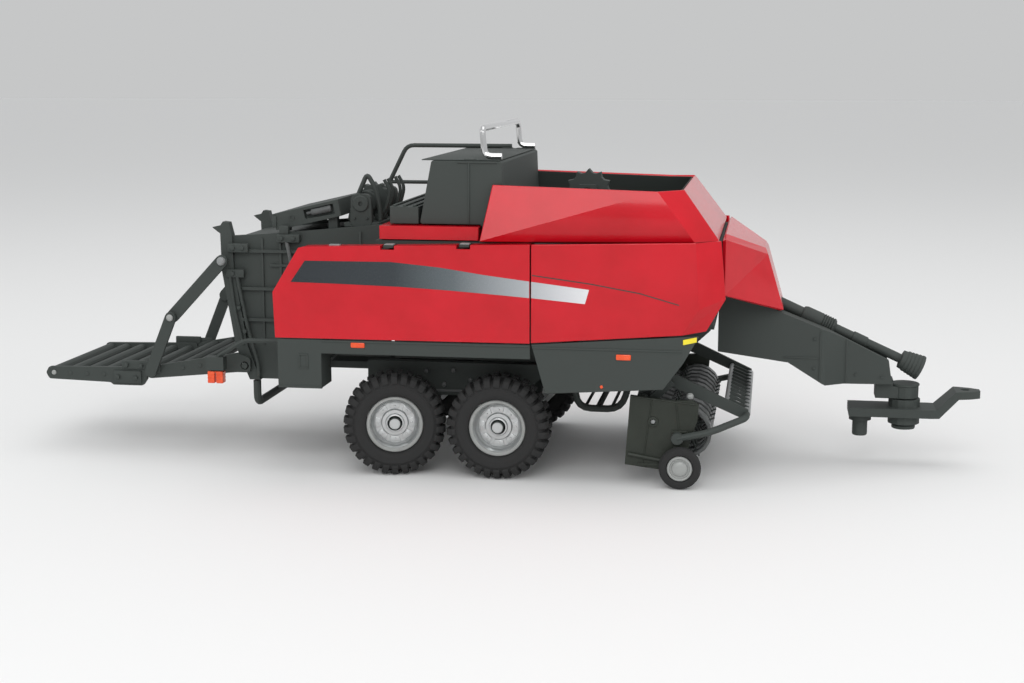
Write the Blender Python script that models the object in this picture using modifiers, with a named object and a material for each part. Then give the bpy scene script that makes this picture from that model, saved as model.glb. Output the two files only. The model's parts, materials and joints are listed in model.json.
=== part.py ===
"""Square baler, a 1:32 scale model with turning wheels, steered rear axle and folding chute.

The frame is +X towards the drawbar, +Y to the machine's left and +Z up, with the ground at Z 0.
All sizes and places below are millimetres, and the helpers turn them into metres.
"""

import math

import bmesh
import bpy
from mathutils import Matrix, Vector

MM = 0.001
GAP = 0.35               # running clearance between pieces that move, and between pieces that touch
SIDES = (("right", -1), ("left", 1))

# Wheels and axles
TYRE_RADIUS = 15.7
TYRE_WIDTH = 13.4
RIM_RADIUS = 8.6
RIM_DISH = 3.6           # how far the wheel disc lies inside the rim's outer edge
WHEEL_Y = 36.3           # centre plane of a tyre
FRONT_AXLE_X = 3.2
REAR_AXLE_X = -31.8
AXLE_RADIUS = 1.9
KINGPIN_Y = 25.6
STEER_REST = 12.0        # degrees, the rear wheels as they stand
STEER_ARM = 7.0          # from the kingpin back to the tie rod
GAUGE_RADIUS = 6.3
GAUGE_WIDTH = 3.4
GAUGE_X = 58.6
GAUGE_Y = 44.0

# Body panels
BODY_Y = 46.0            # outer face of the side panels
PANEL_WALL = 1.0
BEVEL_Y = 42.0           # where the front panels' bevel ends
FLANGE_Y = 41.2          # inner edge of the rear doors' top flange
PANEL_TOP_AT_0 = 71.8
PANEL_TOP_SLOPE = 0.0245
PANEL_SPLIT_X = 14.0
HINGE_X = (-29.0, -6.0)
HINGE_WIDTH = 3.0
DOOR_AXIS_Y = 45.0
DOOR_AXIS_DROP = 1.0     # below the panel's top edge

# Frame and bale chamber
DECK_Y = 39.5
DECK_TOP = 72.1
DECK_THICK = 2.2
CORE_Y = 21.0
DUCT_Y = 18.4            # the bale duct inside it, open to the chamber
CORE_REAR_X = -33.0
CORE_BOTTOM = 32.8
BULKHEAD_X = 66.0
HOOD_REAR_X = 70.4
CHAMBER_Y = 19.1         # inner face of the chamber walls
CHAMBER_WALL = 1.9
POST_Y = 22.3            # outer face of the rear posts
FLOOR_TOP = 31.0
ROOF_AT_REAR = 67.0
ROOF_AT_FRONT = 71.5

# Bale chute
CHUTE_PIVOT = (-81.5, 29.4)
CHUTE_SPLIT_X = -114.5
CHUTE_Y = 22.7           # inner face of the chute's side plates
CHUTE_WALL = 1.5
CHUTE_END_X = -147.0
ROLLER_RADIUS = 1.7
STAY_TOP = (-87.7, 63.0)
STAY_ELBOW = (-104.7, 44.8)
STAY_FOOT = (-112.0, 27.0)
STAY_HALF_WIDTH = 2.0
STAY_WALL = 1.2
KNOTTER_BASE = 73.9

# Drawbar, hitch and drive shaft
DRAWBAR_Y = 11.0
DRAWBAR_NOSE_Y = 6.4
DRAWBAR_NOSE_X = 104.0
TROUGH_Y = 4.4
HITCH_X = 126.2
HITCH_PIN_RADIUS = 1.6
PTO_START = (88.8, 49.4)
PTO_END = (131.0, 30.4)

# Pickup
PICKUP_PIVOT = (46.5, 24.6)
PICKUP_PIN_RADIUS = 1.0
SHIELD_Y = 41.0          # outer face of the pickup's side shields
SHIELD_WALL = 1.4
REEL = (60.0, 15.5)      # the reel's axis
REEL_TIP = 9.0
STRIP_OUTER = 7.6
STRIP_PITCH = 6.4
STRIP_COUNT = 12
WIND_GUARD = (77.6, 21.0)

# name: red, green, blue, roughness, metallic
FINISHES = {
    "red": (0.60, 0.02, 0.03, 0.28, 0.0),
    "charcoal": (0.035, 0.042, 0.038, 0.45, 0.0),
    "grey": (0.16, 0.17, 0.16, 0.5, 0.0),
    "silver": (0.55, 0.56, 0.56, 0.35, 0.6),
    "chrome": (0.6, 0.6, 0.6, 0.2, 0.9),
    "rubber": (0.015, 0.015, 0.016, 0.5, 0.0),
    "orange": (0.9, 0.22, 0.03, 0.35, 0.0),
}


# ---------------------------------------------------------------- scene and materials

def empty_scene():
    """Remove the scene's objects and make the collection that holds the parts."""
    for old in list(bpy.data.objects):
        bpy.data.objects.remove(old, do_unlink=True)
    collection = bpy.data.collections.new("square_baler")
    bpy.context.scene.collection.children.link(collection)
    return collection


def material(name, finish):
    """A Principled material of its own for one sub-part."""
    red, green, blue, roughness, metallic = FINISHES[finish]
    made = bpy.data.materials.new(name)
    made.use_nodes = True
    shader = made.node_tree.nodes["Principled BSDF"]
    shader.inputs["Base Color"].default_value = (red, green, blue, 1.0)
    shader.inputs["Roughness"].default_value = roughness
    shader.inputs["Metallic"].default_value = metallic
    return made


PARTS = empty_scene()


def part(name, solid, finish, pivot=(0.0, 0.0, 0.0)):
    """Name a finished solid as a sub-part, with its origin at its pivot."""
    origin = Vector(pivot) * MM
    solid.data.transform(Matrix.Translation(-origin))
    solid.location = origin
    solid.name = name
    solid.data.name = name
    solid.data.materials.clear()
    solid.data.materials.append(material(name, finish))
    solid.data.shade_smooth()
    solid.data.set_sharp_from_angle(angle=math.radians(35.0))
    for holder in list(solid.users_collection):
        holder.objects.unlink(solid)
    PARTS.objects.link(solid)
    return solid


# ---------------------------------------------------------------- shapes

def place(mesh):
    """Put a mesh into the scene as a working object."""
    solid = bpy.data.objects.new("working", mesh)
    bpy.context.scene.collection.objects.link(solid)
    return solid


def from_bmesh(shape):
    """Turn a bmesh in millimetres into a working object."""
    bmesh.ops.scale(shape, vec=(MM, MM, MM), verts=shape.verts)
    mesh = bpy.data.meshes.new("working")
    shape.to_mesh(mesh)
    shape.free()
    return place(mesh)


def settled(source):
    """Replace an object by its evaluated mesh, welded and facing out."""
    depsgraph = bpy.context.evaluated_depsgraph_get()
    mesh = bpy.data.meshes.new_from_object(source.evaluated_get(depsgraph))
    mesh.transform(source.matrix_world)
    bpy.data.objects.remove(source, do_unlink=True)
    shape = bmesh.new()
    shape.from_mesh(mesh)
    bmesh.ops.remove_doubles(shape, verts=shape.verts, dist=0.001 * MM)
    bmesh.ops.recalc_face_normals(shape, faces=shape.faces)
    shape.to_mesh(mesh)
    shape.free()
    return place(mesh)


def box(x0, x1, y0, y1, z0, z1):
    """A block between two corners."""
    shape = bmesh.new()
    bmesh.ops.create_cube(shape, size=1.0)
    size = (abs(x1 - x0), abs(y1 - y0), abs(z1 - z0))
    bmesh.ops.scale(shape, vec=size, verts=shape.verts)
    middle = ((x0 + x1) / 2, (y0 + y1) / 2, (z0 + z1) / 2)
    bmesh.ops.translate(shape, vec=middle, verts=shape.verts)
    return from_bmesh(shape)


def rod(start, end, radius, radius_end=None, sides=14):
    """A round bar, or a cone, between two points."""
    start, end = Vector(start), Vector(end)
    run = end - start
    shape = bmesh.new()
    bmesh.ops.create_cone(shape, cap_ends=True, segments=sides, depth=run.length, radius1=radius,
                          radius2=radius if radius_end is None else radius_end)
    turn = run.to_track_quat("Z", "Y").to_matrix().to_4x4()
    bmesh.ops.transform(shape, matrix=Matrix.Translation((start + end) / 2) @ turn, verts=shape.verts)
    return from_bmesh(shape)


def rounded(corners, radius, steps=3):
    """Round an outline's corners with short arcs."""
    points = []
    count = len(corners)
    for index, corner in enumerate(corners):
        here = Vector(corner)
        back = (Vector(corners[index - 1]) - here)
        ahead = (Vector(corners[(index + 1) % count]) - here)
        half = back.angle(ahead) / 2
        reach = min(radius / math.tan(half), back.length * 0.45, ahead.length * 0.45)
        first = here + back.normalized() * reach
        last = here + ahead.normalized() * reach
        for step in range(steps + 1):
            t = step / steps
            points.append(tuple(first * (1 - t) ** 2 + here * 2 * t * (1 - t) + last * t ** 2))
    return points


PLANES = {   # the curve's own axes in the frame: u, v and the extrusion
    "y": Matrix(((1, 0, 0, 0), (0, 0, -1, 0), (0, 1, 0, 0), (0, 0, 0, 1))),
    "z": Matrix.Identity(4),
    "x": Matrix(((0, 0, 1, 0), (1, 0, 0, 0), (0, 1, 0, 0), (0, 0, 0, 1))),
}


def plate(outline, low, high, axis="y", holes=()):
    """A flat outline, given in the two other axes, extruded from low to high along an axis."""
    curve = bpy.data.curves.new("working", "CURVE")
    curve.dimensions = "2D"
    curve.fill_mode = "BOTH"
    curve.extrude = abs(high - low) / 2 * MM
    for loop in (outline, *holes):
        spline = curve.splines.new("POLY")
        spline.points.add(len(loop) - 1)
        for point, (u, v) in zip(spline.points, loop):
            point.co = (u * MM, v * MM, 0.0, 1.0)
        spline.use_cyclic_u = True
    solid = bpy.data.objects.new("working", curve)
    bpy.context.scene.collection.objects.link(solid)
    offset = {"x": (1, 0, 0), "y": (0, 1, 0), "z": (0, 0, 1)}[axis]
    middle = Vector(offset) * ((low + high) / 2 * MM)
    solid.matrix_world = Matrix.Translation(middle) @ PLANES[axis]
    bpy.context.view_layer.update()
    return settled(solid)


def smooth_path(points, bend, steps=4):
    """An open route with its inner corners rounded to a bend radius."""
    route = [Vector(points[0])]
    for before, here, after in zip(points, points[1:], points[2:]):
        here = Vector(here)
        back, ahead = Vector(before) - here, Vector(after) - here
        reach = min(bend, back.length * 0.45, ahead.length * 0.45)
        first, last = here + back.normalized() * reach, here + ahead.normalized() * reach
        for step in range(steps + 1):
            t = step / steps
            route.append(first * (1 - t) ** 2 + here * 2 * t * (1 - t) + last * t ** 2)
    route.append(Vector(points[-1]))
    return route


def tube(points, radius, bend=2.0):
    """A bent round tube along a route."""
    curve = bpy.data.curves.new("working", "CURVE")
    curve.dimensions = "3D"
    curve.bevel_depth = radius * MM
    curve.bevel_resolution = 1
    curve.use_fill_caps = True
    route = smooth_path(points, bend)
    spline = curve.splines.new("POLY")
    spline.points.add(len(route) - 1)
    for point, place_at in zip(spline.points, route):
        point.co = (*(place_at * MM), 1.0)
    solid = bpy.data.objects.new("working", curve)
    bpy.context.scene.collection.objects.link(solid)
    bpy.context.view_layer.update()
    return settled(solid)


def turned(profile, centre, side=1, steps=20):
    """A ring turned about the Y axis: its closed profile is (radius, offset along Y)."""
    mesh = bpy.data.meshes.new("working")
    edges = [(k, (k + 1) % len(profile)) for k in range(len(profile))]
    mesh.from_pydata([(r * MM, 0.0, y * side * MM) for r, y in profile], edges, [])
    solid = place(mesh)
    screw = solid.modifiers.new("turn", "SCREW")
    screw.axis = "Z"
    screw.steps = steps
    screw.render_steps = steps
    screw.use_merge_vertices = True
    screw.merge_threshold = 0.00001
    solid.matrix_world = Matrix.Translation(Vector(centre) * MM) @ Matrix.Rotation(-math.pi / 2, 4, "X")
    bpy.context.view_layer.update()
    return settled(solid)


def shell(points, faces, thickness, towards):
    """An open surface thickened on the side of a point, as one closed panel."""
    mesh = bpy.data.meshes.new("working")
    mesh.from_pydata([Vector(p) * MM for p in points], [], faces)
    mesh.update()
    outward = mesh.polygons[0].normal.dot(Vector(towards) * MM - mesh.polygons[0].center)
    solid = place(mesh)
    wall = solid.modifiers.new("wall", "SOLIDIFY")
    wall.thickness = thickness * MM
    wall.offset = 1.0 if outward > 0 else -1.0
    wall.use_even_offset = True
    bpy.context.view_layer.update()
    return settled(solid)


def combine(solid, others, operation):
    """Union or cut other solids with an exact Boolean each."""
    for other in others:
        tool = solid.modifiers.new("combine", "BOOLEAN")
        tool.operation = operation
        tool.solver = "EXACT"
        tool.object = other
        other.hide_render = True
        other.display_type = "WIRE"
        bpy.context.view_layer.update()
        solid = settled(solid)
        bpy.data.objects.remove(other, do_unlink=True)
    return solid


def join(solid, *others):
    return combine(solid, others, "UNION")


def cut(solid, *others):
    return combine(solid, others, "DIFFERENCE")


def mirrored(solid):
    """A copy of a working object on the other side of the machine."""
    mesh = solid.data.copy()
    mesh.transform(solid.matrix_world)
    mesh.transform(Matrix.Scale(-1.0, 4, (0.0, 1.0, 0.0)))
    mesh.flip_normals()
    return place(mesh)


def both_sides(name, solid, finish, pivot=(0.0, 0.0, 0.0)):
    """The right-hand piece, as built, and its mirror image on the left."""
    twin = mirrored(solid)
    part(name + "_right", solid, finish, pivot)
    part(name + "_left", twin, finish, (pivot[0], -pivot[1], pivot[2]))


def panel_top(x):
    """Height of the side panels' top edge, which rises towards the front."""
    return PANEL_TOP_AT_0 + PANEL_TOP_SLOPE * x


# ---------------------------------------------------------------- body

def main_frame():
    """The plunger housing with its deck, front bulkhead and the outriggers that carry the skirts."""
    core = plate([(CORE_REAR_X, CORE_BOTTOM), (36.0, CORE_BOTTOM), (48.0, 27.0), (58.0, 36.5),
                  (BULKHEAD_X, 44.0), (BULKHEAD_X, DECK_TOP - 0.6), (CORE_REAR_X, DECK_TOP - 0.6)],
                 -CORE_Y, CORE_Y)
    outriggers = [box(x0, x1, -(BODY_Y - PANEL_WALL - GAP), BODY_Y - PANEL_WALL - GAP, 39.0, 41.6)
                  for x0, x1 in ((-8.0, -4.0), (22.0, 27.0), (48.0, 53.0))]
    duct = plate([(CORE_REAR_X - 2.0, 36.0), (46.0, 36.0), (60.0, 47.0), (60.0, 68.0),
                  (CORE_REAR_X - 2.0, 68.0)], -DUCT_Y, DUCT_Y)
    core = cut(join(core, *outriggers), duct)
    deck = box(CORE_REAR_X - 1.0, BULKHEAD_X + 1.4, -DECK_Y, DECK_Y, DECK_TOP - DECK_THICK, DECK_TOP)
    bulkhead = plate([(-40.6, 72.8), (-40.6, 49.0), (-36.0, 46.8), (36.0, 46.8), (40.6, 49.0),
                      (40.6, 72.8)], BULKHEAD_X - 0.8, BULKHEAD_X + 1.6, axis="x")
    tabs = [box(x - HINGE_WIDTH / 2, x + HINGE_WIDTH / 2, side * (DECK_Y - 1.0),
                side * (DOOR_AXIS_Y - GAP), panel_top(x) - 0.75, panel_top(x))
            for x in HINGE_X for _name, side in SIDES]
    shelf = box(14.6, 62.0, -42.9, 42.9, DECK_TOP - DECK_THICK, DECK_TOP)
    hood_seat = box(BULKHEAD_X + 1.0, HOOD_REAR_X - 1.3, -32.6, 32.6, 59.0, 72.4)
    hanger = link(PICKUP_PIVOT, (50.5, 39.8), -31.4, -29.4, 1.9)
    hinge_pin = rod((PICKUP_PIVOT[0], -31.0, PICKUP_PIVOT[1]), (PICKUP_PIVOT[0], -35.9, PICKUP_PIVOT[1]),
                    PICKUP_PIN_RADIUS)
    hanger = join(hanger, hinge_pin)
    part("main_frame", join(core, deck, shelf, bulkhead, hood_seat, *tabs, *drive_disc(), hanger,
                            mirrored(hanger)), "charcoal")


def side_panels():
    """Gull-wing rear doors and fixed, bevelled front panels, each one folded sheet."""
    rear, split = -64.7, PANEL_SPLIT_X
    corners = [(-64.2, 42.6), (rear, 56.5), (-56.4, 70.0), (-54.6, panel_top(-54.6)),
               (split - 0.2, panel_top(split)), (split - 0.2, 42.8)]
    wall = [(x, -BODY_Y, z) for x, z in corners]
    flange = [(-54.6, -FLANGE_Y, panel_top(-54.6)), (split - 0.2, -FLANGE_Y, panel_top(split))]
    door = shell(wall + flange, [(0, 1, 2, 3, 4, 5), (3, 6, 7, 4)], PANEL_WALL, (-20, 0, 55))
    notches = [box(x - HINGE_WIDTH / 2 - 0.6, x + HINGE_WIDTH / 2 + 0.6, -BODY_Y - 1, -FLANGE_Y + 1,
                   panel_top(x) - 1.2, panel_top(x) + 1) for x in HINGE_X]
    axis = (0.0, -DOOR_AXIS_Y, PANEL_TOP_AT_0 - DOOR_AXIS_DROP)
    both_sides("rear_door", cut(door, *notches), "red", axis)

    sill = split + 0.2
    lip = -(BODY_Y - 1.8)
    points = [(sill, -BODY_Y, 42.9), (58.3, -BODY_Y, 46.3), (63.4, -BODY_Y, 54.0),
              (62.2, -BODY_Y, 73.4), (sill, -BODY_Y, panel_top(split)),
              (65.6, -BEVEL_Y, 47.2), (71.0, -BEVEL_Y, 56.6), (69.4, -BEVEL_Y, 73.8),
              (sill, lip, panel_top(split)), (62.2, lip, 73.4)]
    faces = [(0, 1, 2, 3, 4), (1, 5, 6, 2), (2, 6, 7, 3), (4, 3, 9, 8)]
    both_sides("front_panel", shell(points, faces, PANEL_WALL, (40, 0, 58)), "red")


def skirts():
    """The dark lower skirts: a strip with the rear locker, and the deep front one."""
    y_out, y_in = -BODY_Y, -(BODY_Y - PANEL_WALL)
    strip = plate([(-63.5, 42.2), (-63.5, 27.2), (-49.9, 27.2), (-49.9, 38.1), (13.9, 38.1),
                   (13.9, 42.4), (13.0, 42.4)], y_out, y_in)
    locker = box(-63.4, -50.0, y_in - 0.3, -34.5, 27.3, 42.1)
    carrier = box(-57.5, -52.5, -35.0, -(CHAMBER_Y + CHAMBER_WALL + GAP), 33.0, 38.0)
    both_sides("rear_skirt", join(strip, locker, carrier), "charcoal")

    points = [(14.3, y_out, 42.5), (18.5, y_out, 27.8), (53.4, y_out, 30.1), (58.9, y_out, 37.6),
              (58.9, y_out, 45.9), (63.6, -43.8, 45.9)]
    faces = [(0, 1, 2, 3, 4), (4, 3, 5)]
    both_sides("front_skirt", shell(points, faces, PANEL_WALL, (40, 0, 38)), "charcoal")


def covers():
    """The covers on the deck: red sill, tall service cover, knotter cover and front housing."""
    part("deck_sill", box(-32.8, -2.5, -40.0, 40.0, DECK_TOP + GAP, 76.5), "red")
    tall = rounded([(-21.1, 76.5 + GAP), (-17.4, 95.9), (4.0, 95.8), (5.0, DECK_TOP + GAP),
                    (-2.1, DECK_TOP + GAP), (-2.1, 76.5 + GAP)], 0.5, 1)
    part("service_cover", plate(tall, -36.6, 36.6), "charcoal")
    part("knotter_cover", box(-30.3, -21.5, -36.6, 36.6, 76.5 + GAP, 82.0), "charcoal")

    base = DECK_TOP + 0.5
    # columns: x at the base, y at the base, z at the base, x at the rim, y at the rim, z at the rim
    corners = ((-1.7, 43.0, base, 1.4, 38.0, 89.0), (61.7, 43.0, base + 0.7, 50.3, 38.0, 87.6),
               (68.6, 38.5, base + 0.9, 57.9, 33.6, 87.9))
    ring = [(c, -1) for c in corners] + [(c, 1) for c in reversed(corners)]
    points = [(c[0], side * c[1], c[2]) for c, side in ring]
    points += [(c[3], side * c[4], c[5]) for c, side in ring]
    count = len(ring)
    faces = [(k, k + 1, k + 1 + count, k + count) for k in range(count - 1)]
    part("front_housing", shell(points, faces, PANEL_WALL, (30, 0, 80)), "red")


def drive_disc():
    """The toothed disc in the front housing; returns the two cheeks that carry it."""
    gear = [(r * math.cos(math.tau * k / 36), r * math.sin(math.tau * k / 36))
            for k in range(36) for r in ((7.6 if k % 3 == 0 else 6.4),)]
    disc = plate([(26.0 + u, 84.2 + v) for u, v in gear], -2.0, 2.0)
    shaft = rod((26.0, -6.0, 84.2), (26.0, 6.0, 84.2), 1.6)
    part("drive_disc", join(disc, shaft), "grey", (26.0, 0.0, 84.2))
    foot = plate([(21.5, DECK_TOP - 0.5), (30.5, DECK_TOP - 0.5), (28.6, 87.0), (23.4, 87.0)], 3.2, 5.4)
    foot_bore = rod((26.0, 2.0, 84.2), (26.0, 7.0, 84.2), 1.6 + GAP)
    foot = cut(foot, foot_bore)
    return foot, mirrored(foot)


def hood():
    """The front hood over the flywheel, narrower towards the drawbar."""
    # columns: x, y, z of the near half, rear section first
    rear = ((HOOD_REAR_X, 33.0, 56.6), (HOOD_REAR_X, 33.0, 73.2), (HOOD_REAR_X, 29.0, 74.6))
    front = ((87.9, 12.6, 49.8), (82.8, 14.0, 67.0), (82.0, 10.5, 68.6))
    points = [(x, -y, z) for x, y, z in rear] + [(x, y, z) for x, y, z in reversed(rear)]
    points += [(x, -y, z) for x, y, z in front] + [(x, y, z) for x, y, z in reversed(front)]
    faces = [(k, k + 1, k + 7, k + 6) for k in range(5)] + [(6, 7, 8, 9, 10, 11)]
    start, end = Vector((PTO_START[0], 0, PTO_START[1])), Vector((PTO_END[0], 0, PTO_END[1]))
    shaft_hole = rod(start.lerp(end, -0.2), start.lerp(end, 0.2), 2.6)
    part("hood", cut(shell(points, faces, PANEL_WALL + 0.2, (78, 0, 60)), shaft_hole), "red")


def rails():
    """The chrome grab handle, the platform rail on the left and the twine loop by the knotter."""
    foot_z, top_z = 95.9 + GAP + 0.9, 105.4
    handle = tube([(3.6, -34.0, foot_z), (-1.6, -34.0, foot_z), (-2.3, -34.0, top_z),
                   (-2.3, 34.0, top_z), (-1.6, 34.0, foot_z), (3.6, 34.0, foot_z)], 0.9, 2.0)
    part("grab_handle", handle, "chrome")
    y = 34.5
    rail_z = 95.9 + GAP + 0.75
    rail = tube([(-4.5, y, rail_z), (-41.0, y, rail_z), (-49.0, y, 81.0), (-51.5, y, 74.2),
                 (-51.5, CHAMBER_Y + CHAMBER_WALL + GAP, 72.6)], 0.7, 2.5)
    lower = tube([(-46.9, y, 84.4), (-20.4, y, 84.4)], 0.6)
    part("platform_rail", join(rail, lower), "charcoal")
    y, foot = -14.0, KNOTTER_BASE + 1.3 + GAP
    loop = tube([(-48.7, y, foot), (-47.9, y, 79.0), (-42.9, y, 90.4), (-40.4, y, 86.0), (-39.0, y, 80.0),
                 (-38.9, y, foot)], 0.7, 1.8)
    part("twine_loop", loop, "charcoal")


# ---------------------------------------------------------------- bale chamber and chute

def chamber():
    """Two side walls with hooked rear posts, floor and roof around the open bale channel."""
    wall = plate([(-80.3, 24.8), (-84.7, 35.4), (-88.6, 59.6), (-88.8, 70.4), (-72.0, 71.6),
                  (-37.0, 74.9), (CORE_REAR_X - 1.4, 74.9), (CORE_REAR_X - 1.4, 33.0), (-52.0, 33.0),
                  (-60.0, 24.8)], -CHAMBER_Y - CHAMBER_WALL, -CHAMBER_Y)
    post = plate([(-80.5, 24.6), (-84.9, 35.4), (-88.8, 59.6), (-89.0, 71.4), (-91.6, 73.4), (-88.9, 74.0),
                  (-88.1, 75.2), (-86.2, 75.0), (-85.2, 71.0), (-84.8, 59.6), (-80.9, 35.4),
                  (-76.9, 24.6)], -POST_Y, -CHAMBER_Y - 0.1)
    ribs = [box(-85.5, -60.0, -POST_Y, -CHAMBER_Y - 0.5, z - 0.5, z + 0.5) for z in (44.0, 54.0, 66.0)]
    pivot = rod((STAY_TOP[0], -POST_Y + 0.5, STAY_TOP[1]),
                (STAY_TOP[0], -CHUTE_Y - CHUTE_WALL - 0.1, STAY_TOP[1]), 1.1)
    hinge_pin = rod((CHUTE_PIVOT[0], -CHAMBER_Y - 0.5, CHUTE_PIVOT[1]),
                    (CHUTE_PIVOT[0], -CHUTE_Y - CHUTE_WALL - 0.2, CHUTE_PIVOT[1]), 1.0)
    both_sides("chamber_wall", join(wall, post, *ribs, pivot, hinge_pin), "charcoal")
    inside = CHAMBER_Y - GAP
    floor = box(-79.0, CORE_REAR_X - GAP, -inside, inside, FLOOR_TOP - 2.4, FLOOR_TOP)
    part("chamber_floor", floor, "charcoal")
    roof = plate([(-86.6, ROOF_AT_REAR), (-86.6, ROOF_AT_REAR + 2.4),
                  (CORE_REAR_X - 1.4, ROOF_AT_FRONT + 2.4), (CORE_REAR_X - 1.4, ROOF_AT_FRONT)],
                 -inside, inside)
    part("chamber_roof", roof, "charcoal")
    beam = plate([(-71.2, 72.5), (-72.4, 77.6), (-50.9, 82.6), (-49.8, 77.4)], -20.4, 20.4)
    pockets = [plate([(-61.5, 76.3), (-62.2, 79.0), (-52.6, 81.2), (-51.9, 78.0)], side * 21.0, side * 18.6)
               for _name, side in SIDES]
    seats = [box(-70.0, -67.2, side * 16.0, side * 20.0, 72.3, 74.0) for _name, side in SIDES]
    seats += [box(-54.6, -51.6, side * 16.0, side * 18.6, 73.0, 78.0) for _name, side in SIDES]
    part("density_beam", join(cut(beam, *pockets), *seats), "charcoal")


def knotter():
    """The knotter shaft with its toothed disc, in two bearings on the chamber roof."""
    x, z = -43.9, 81.2
    teeth = [(r * math.cos(math.tau * k / 48), r * math.sin(math.tau * k / 48))
             for k in range(48) for r in ((5.6 if k % 4 < 2 else 4.8),)]
    disc = plate([(x + u, z + v) for u, v in teeth], -1.6, 1.8)
    shaft = rod((x, -16.2, z), (x, 16.2, z), 1.8)
    part("knotter_rotor", join(disc, shaft), "grey", (x, 0.0, z))
    cheek = plate(rounded([(x - 3.6, KNOTTER_BASE), (x + 3.6, KNOTTER_BASE), (x + 3.2, z + 3.0),
                           (x - 3.2, z + 3.0)], 2.0), -18.7, -16.6)
    base_plate = box(x - 5.5, x + 5.6, -18.6, 18.6, KNOTTER_BASE, KNOTTER_BASE + 1.3)
    part("knotter_bearings", join(cheek, mirrored(cheek), base_plate), "charcoal")


def chute():
    """The folding bale chute: a front section on the chamber and a bolted rear section."""
    wall = (-CHUTE_Y - CHUTE_WALL, -CHUTE_Y)
    front = plate(rounded([(-79.6, 27.2), (-79.6, 31.8), (-84.0, 33.4), (-111.0, 28.6), (-114.2, 27.8),
                           (-114.2, 24.2), (-84.0, 27.2)], 1.2, 2), *wall)
    bore = rod((CHUTE_PIVOT[0], -CHUTE_Y - 3, CHUTE_PIVOT[1]), (CHUTE_PIVOT[0], -CHUTE_Y + 1, CHUTE_PIVOT[1]),
               1.0 + GAP)
    eye = rod((STAY_FOOT[0], -CHUTE_Y - CHUTE_WALL + 0.4, STAY_FOOT[1]),
              (STAY_FOOT[0], -25.9, STAY_FOOT[1]), 1.1)
    side = join(cut(front, bore), eye)
    rollers = [rod((x, -CHUTE_Y - 0.4, z), (x, CHUTE_Y + 0.4, z), ROLLER_RADIUS, sides=14)
               for x, z in ((-96.4, 29.2), (-102.2, 28.3), (-108.0, 27.4))]
    part("chute_front", join(side, mirrored(side), *rollers), "charcoal", (CHUTE_PIVOT[0], 0, CHUTE_PIVOT[1]))

    joint = CHUTE_SPLIT_X
    rear = plate(rounded([(joint, 24.0), (joint, 27.9), (CHUTE_END_X - 1.0, 27.2),
                          (CHUTE_END_X - 2.1, 25.2), (CHUTE_END_X - 1.0, 23.2), (-127.0, 22.6),
                          (-126.0, 21.8), (-116.0, 21.8)], 1.0, 2), *wall)
    rollers = [rod((x, -CHUTE_Y - 0.4, 25.4), (x, CHUTE_Y + 0.4, 25.4), ROLLER_RADIUS, sides=14)
               for x in (-117.5, -123.3, -129.1, -134.9, -140.7, -146.5)]
    part("chute_rear", join(rear, mirrored(rear), *rollers), "charcoal", (CHUTE_PIVOT[0], 0, CHUTE_PIVOT[1]))


def link(start, end, low, high, half_width):
    """A flat bar with round ends between two points of the XZ plane."""
    run = Vector((end[0] - start[0], end[1] - start[1]))
    heading = math.atan2(run.y, run.x)
    outline = []
    for centre, first in ((end, heading - math.pi / 2), (start, heading + math.pi / 2)):
        for step in range(7):
            angle = first + math.pi * step / 6
            outline.append((centre[0] + half_width * math.cos(angle),
                            centre[1] + half_width * math.sin(angle)))
    return plate(outline, low, high)


def stays():
    """The two-bar stays that fold as the chute folds up."""
    y = -(CHUTE_Y + CHUTE_WALL + GAP + 0.1)
    upper = link(STAY_TOP, STAY_ELBOW, y - STAY_WALL, y, STAY_HALF_WIDTH)
    lower_y = y - STAY_WALL - GAP
    rivet = rod((STAY_ELBOW[0], lower_y - 0.4, STAY_ELBOW[1]),
                (STAY_ELBOW[0], lower_y - STAY_WALL - 0.5, STAY_ELBOW[1]), 1.1, sides=14)
    both_sides("stay_upper", upper, "charcoal", (STAY_TOP[0], 0, STAY_TOP[1]))
    lower = link(STAY_ELBOW, STAY_FOOT, lower_y - STAY_WALL, lower_y, STAY_HALF_WIDTH - 0.2)
    both_sides("stay_lower", join(lower, rivet), "charcoal", (STAY_ELBOW[0], 0, STAY_ELBOW[1]))


# ---------------------------------------------------------------- running gear

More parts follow.
